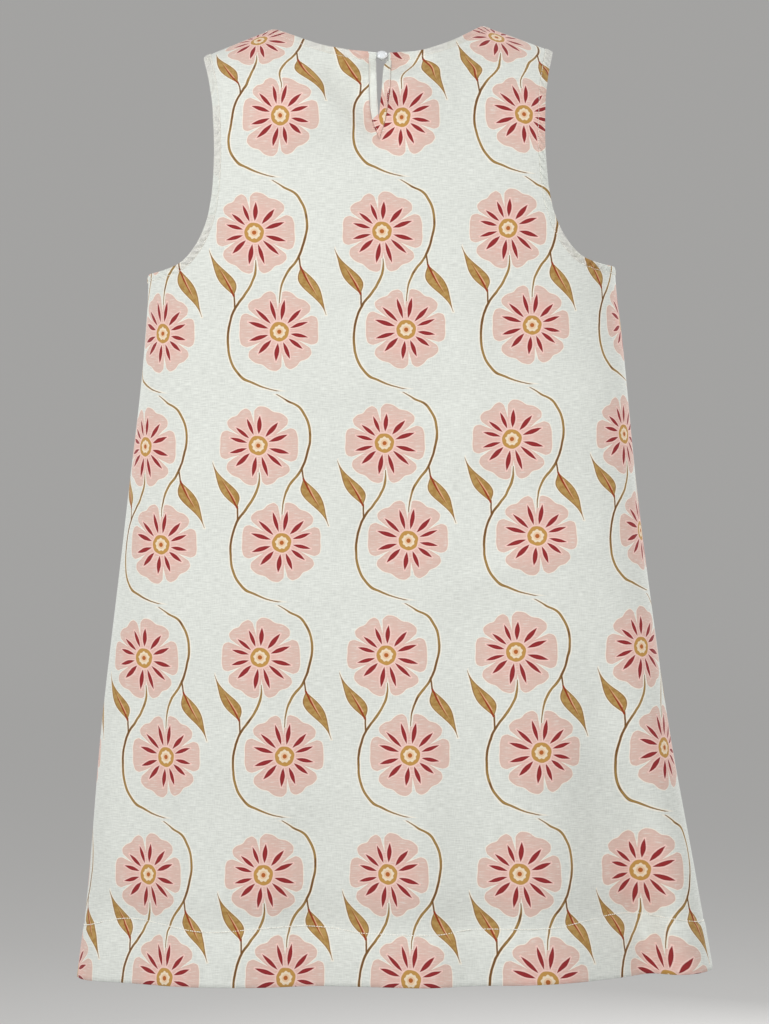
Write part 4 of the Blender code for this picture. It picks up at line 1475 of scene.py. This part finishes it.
def wind(name, points, strands=2, lay=0.0021, sides=8):
    """Strands wound round each other along a path, as one piece."""
    path = eased_path(points)
    run = travelled(path)
    ahead = unit(np.gradient(path, axis=0))
    side = unit(np.cross(axis, ahead))
    up = np.cross(ahead, side)
    radius = THREAD_RADIUS * STRAND_SHARE
    pieces, faces = [], []
    for strand in range(strands):
        spin = run * 2 * math.pi / lay + strand * 2 * math.pi / strands
        turned = np.cos(spin)[:, None] * side + np.sin(spin)[:, None] * up
        middle = path + turned * radius * STRAND_CLOSENESS
        pieces.append(rod(middle, side, up, radius, sides))
        faces += tube(len(path), sides, strand * len(path) * sides)
    return add_piece(name, np.concatenate(pieces), faces)


foot = BUTTON_CENTRE - axis * SEWN_DROP + across * SHANK_RADIUS
left_end = binding_end(LEFT, NECK_BINDING_ENDS[LEFT])
button_sewing = wind("button_sewing", [foot + (left_end - foot) * t for t in np.linspace(0, 1, 5)])

middle = BUTTON_CENTRE - axis * LOOP_DROP
right_end = binding_end(RIGHT, NECK_BINDING_ENDS[RIGHT])
bend = [middle + LOOP_BEND * (math.cos(a) * across + math.sin(a) * beside)
        for a in np.linspace(math.pi / 2, -math.pi / 2, 17)]
shares = np.linspace(0, 1, 9)[:-1]
sag = np.array([0.0, 0.0, -LOOP_SAG])
outer_end = right_end + beside * LOOP_SPREAD
inner_end = right_end - beside * LOOP_SPREAD
outer_leg = [outer_end + (bend[0] - outer_end) * t + sag * math.sin(math.pi * t) for t in shares]
inner_leg = [inner_end + (bend[-1] - inner_end) * t for t in shares]
thread_loop = wind("thread_loop", outer_leg + bend + inner_leg[::-1])
pearl_button = turn_button("pearl_button")
for piece in (button_sewing, thread_loop, pearl_button):
    tell(piece)

# %% [markdown]
# Pearl is smooth under a thin clear coat, with faint clouds of warmer and cooler white. The loop and the
# button's own thread are greyer than the stitches: their light colour is the thread's own, and the dark
# grey mixed into it is painted shade for the shadow that a thick twist holds between its strands.

# %% Pearl and loop finishes
# The loop's dark grey is painted shade between the strands of its twist.
loop_painted_shade_material = spun("loop_twist_painted_shade", paint(232, 232, 226), paint(150, 150, 144), 0.65)
pearl, tree, shader = new_finish("pearl", Roughness=0.22, Coat_Weight=0.5, Coat_Roughness=0.12)
place = tree.nodes.new("ShaderNodeTexCoord").outputs["Object"]
cloudy = tree.nodes.new("ShaderNodeTexNoise")
cloudy.inputs["Scale"].default_value = 260.0
cloudy.inputs["Distortion"].default_value = 1.2
tree.links.new(place, cloudy.inputs["Vector"])
share = Value(tree, cloudy.outputs["Fac"]).ramp(0.3, 0.7)
tree.links.new(mixed(tree, share, paint(226, 231, 234), paint(246, 247, 248)), shader.inputs["Base Color"])
pearl_button.data.materials.append(pearl)
for piece in (button_sewing, thread_loop):
    piece.data.materials.append(loop_painted_shade_material)
print("finishes:", pearl.name, "and", loop_painted_shade_material.name)

# %% [markdown]
# ## Stage, light and camera
#
# The dress stands over a pale studio floor whose far edge curves up into a wall all round, so there is
# no corner to see from any side. It neither throws a shadow nor sends light back, so only the lamps and
# an even white sky light the cloth. The lamps are a key light and a weaker fill light about level with
# the dress, one each side, and a high one. The same three stand mirrored before the front, so that it
# is lit as well as the back is.

# %% Floor and light
FLOOR_HEIGHT = -1.25
STAGE_RADIUS = 9.0
STAGE_CURVE = 3.0
WALL_HEIGHT = 6.0
SKY_STRENGTH = 0.475


def make_stage():
    turn = np.linspace(0, math.pi / 2, 13)
    reach = [0.01] + list(STAGE_RADIUS + STAGE_CURVE * np.sin(turn)) + [STAGE_RADIUS + STAGE_CURVE]
    rise = [0.0] + list(STAGE_CURVE * (1 - np.cos(turn))) + [WALL_HEIGHT]
    around = np.linspace(0, 2 * math.pi, 97)[:-1]
    points = [
        (r * math.cos(a), r * math.sin(a), FLOOR_HEIGHT + h) for r, h in zip(reach, rise) for a in around
    ]
    made = add_piece("studio_floor", points, tube(len(reach), len(around))[:-1])
    made.visible_shadow = False
    made.visible_diffuse = False
    colour = paint(226, 225, 223)
    grey = new_finish("studio_grey", Base_Color=colour, Roughness=0.9, Specular_IOR_Level=0.0)[0]
    made.data.materials.append(grey)
    made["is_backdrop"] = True
    return made


def add_light(name, place, size, power):
    """A square soft light that faces the middle of the dress."""
    data = bpy.data.lights.new(name, "AREA")
    data.shape = "SQUARE"
    data.size = size
    data.energy = power
    made = bpy.data.objects.new(name, data)
    made.location = place
    made.visible_camera = False
    made.rotation_euler = (Vector((0, 0, MIDDLE_HEIGHT)) - made.location).to_track_quat("-Z", "Y").to_euler()
    bpy.context.scene.collection.objects.link(made)


make_stage()
LIGHTS = table(
    "name place size power",
    ("key", (1.0, 1.5, -0.35), 0.9, 8.6),
    ("fill", (-0.95, 1.0, -0.2), 0.8, 5.2),
    ("high", (1.3, 1.1, 1.1), 0.9, 13.0),
)
for light in LIGHTS:
    add_light(*light)
    x, y, height = light.place
    add_light("front_" + light.name, (-x, -y, height), light.size, light.power)

world = bpy.data.worlds.new("studio")
world.use_nodes = True
sky = world.node_tree.nodes["Background"]
sky.inputs["Color"].default_value = (1.0, 1.0, 1.0, 1.0)
sky.inputs["Strength"].default_value = SKY_STRENGTH
bpy.context.scene.world = world
bpy.context.scene.view_settings.view_transform = "Standard"
print("lights:", 2 * len(LIGHTS), "and a white sky of", SKY_STRENGTH)

# %% [markdown]
# The camera looks squarely at the back from 3.2 m with a long lens, so that near and far parts keep
# their proportions. It is rolled by a degree, as someone holding it would.

# %% Camera
CAMERA_PLACE = (0.001, 3.2, MIDDLE_HEIGHT)
CAMERA_ROLL = 0.92
LENS = 112.5

camera_data = bpy.data.cameras.new("camera")
camera_data.sensor_width = 36.0
camera_data.lens = LENS
camera = bpy.data.objects.new("camera", camera_data)
camera.location = CAMERA_PLACE
camera.rotation_euler = (math.pi / 2, math.radians(CAMERA_ROLL), math.pi)
bpy.context.scene.collection.objects.link(camera)
bpy.context.scene.camera = camera
print("camera stands", CAMERA_PLACE[1], "m behind the dress")

# %% [markdown]
# ## Tying the pieces to the frame
#
# Each piece rides on the dress's one body and stands for its plain solid.

# %% Ride and replace
def dress(piece, node):
    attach(piece, "root")
    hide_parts(node)


dress(back_panel, "back")
dress(front_panel, "front")
dress(bands["armhole_band_left"], "armhole_binding_left")
dress(bands["armhole_band_right"], "armhole_binding_right")
dress(bands["neck_band"], "neck_binding")
dress(bands["keyhole_strip"], "keyhole_binding")
dress(pearl_button, "button")
dress(button_sewing, "button_thread")
dress(thread_loop, "button_loop")
for row in stitches.values():
    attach(row, "root")
print(9 + len(stitches), "pieces ride on the dress")

# %% [markdown]
# ## The dressed size
#
# The dressed part's box is set against the frame's, to show in millimetres how much the fine pieces add.

dressed_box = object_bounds()
grown = [round((d - c) * 1000, 1) for c, d in zip(cad_box[1] - cad_box[0], dressed_box[1] - dressed_box[0])]
print("the dressed part is", grown, "mm larger than the frame")
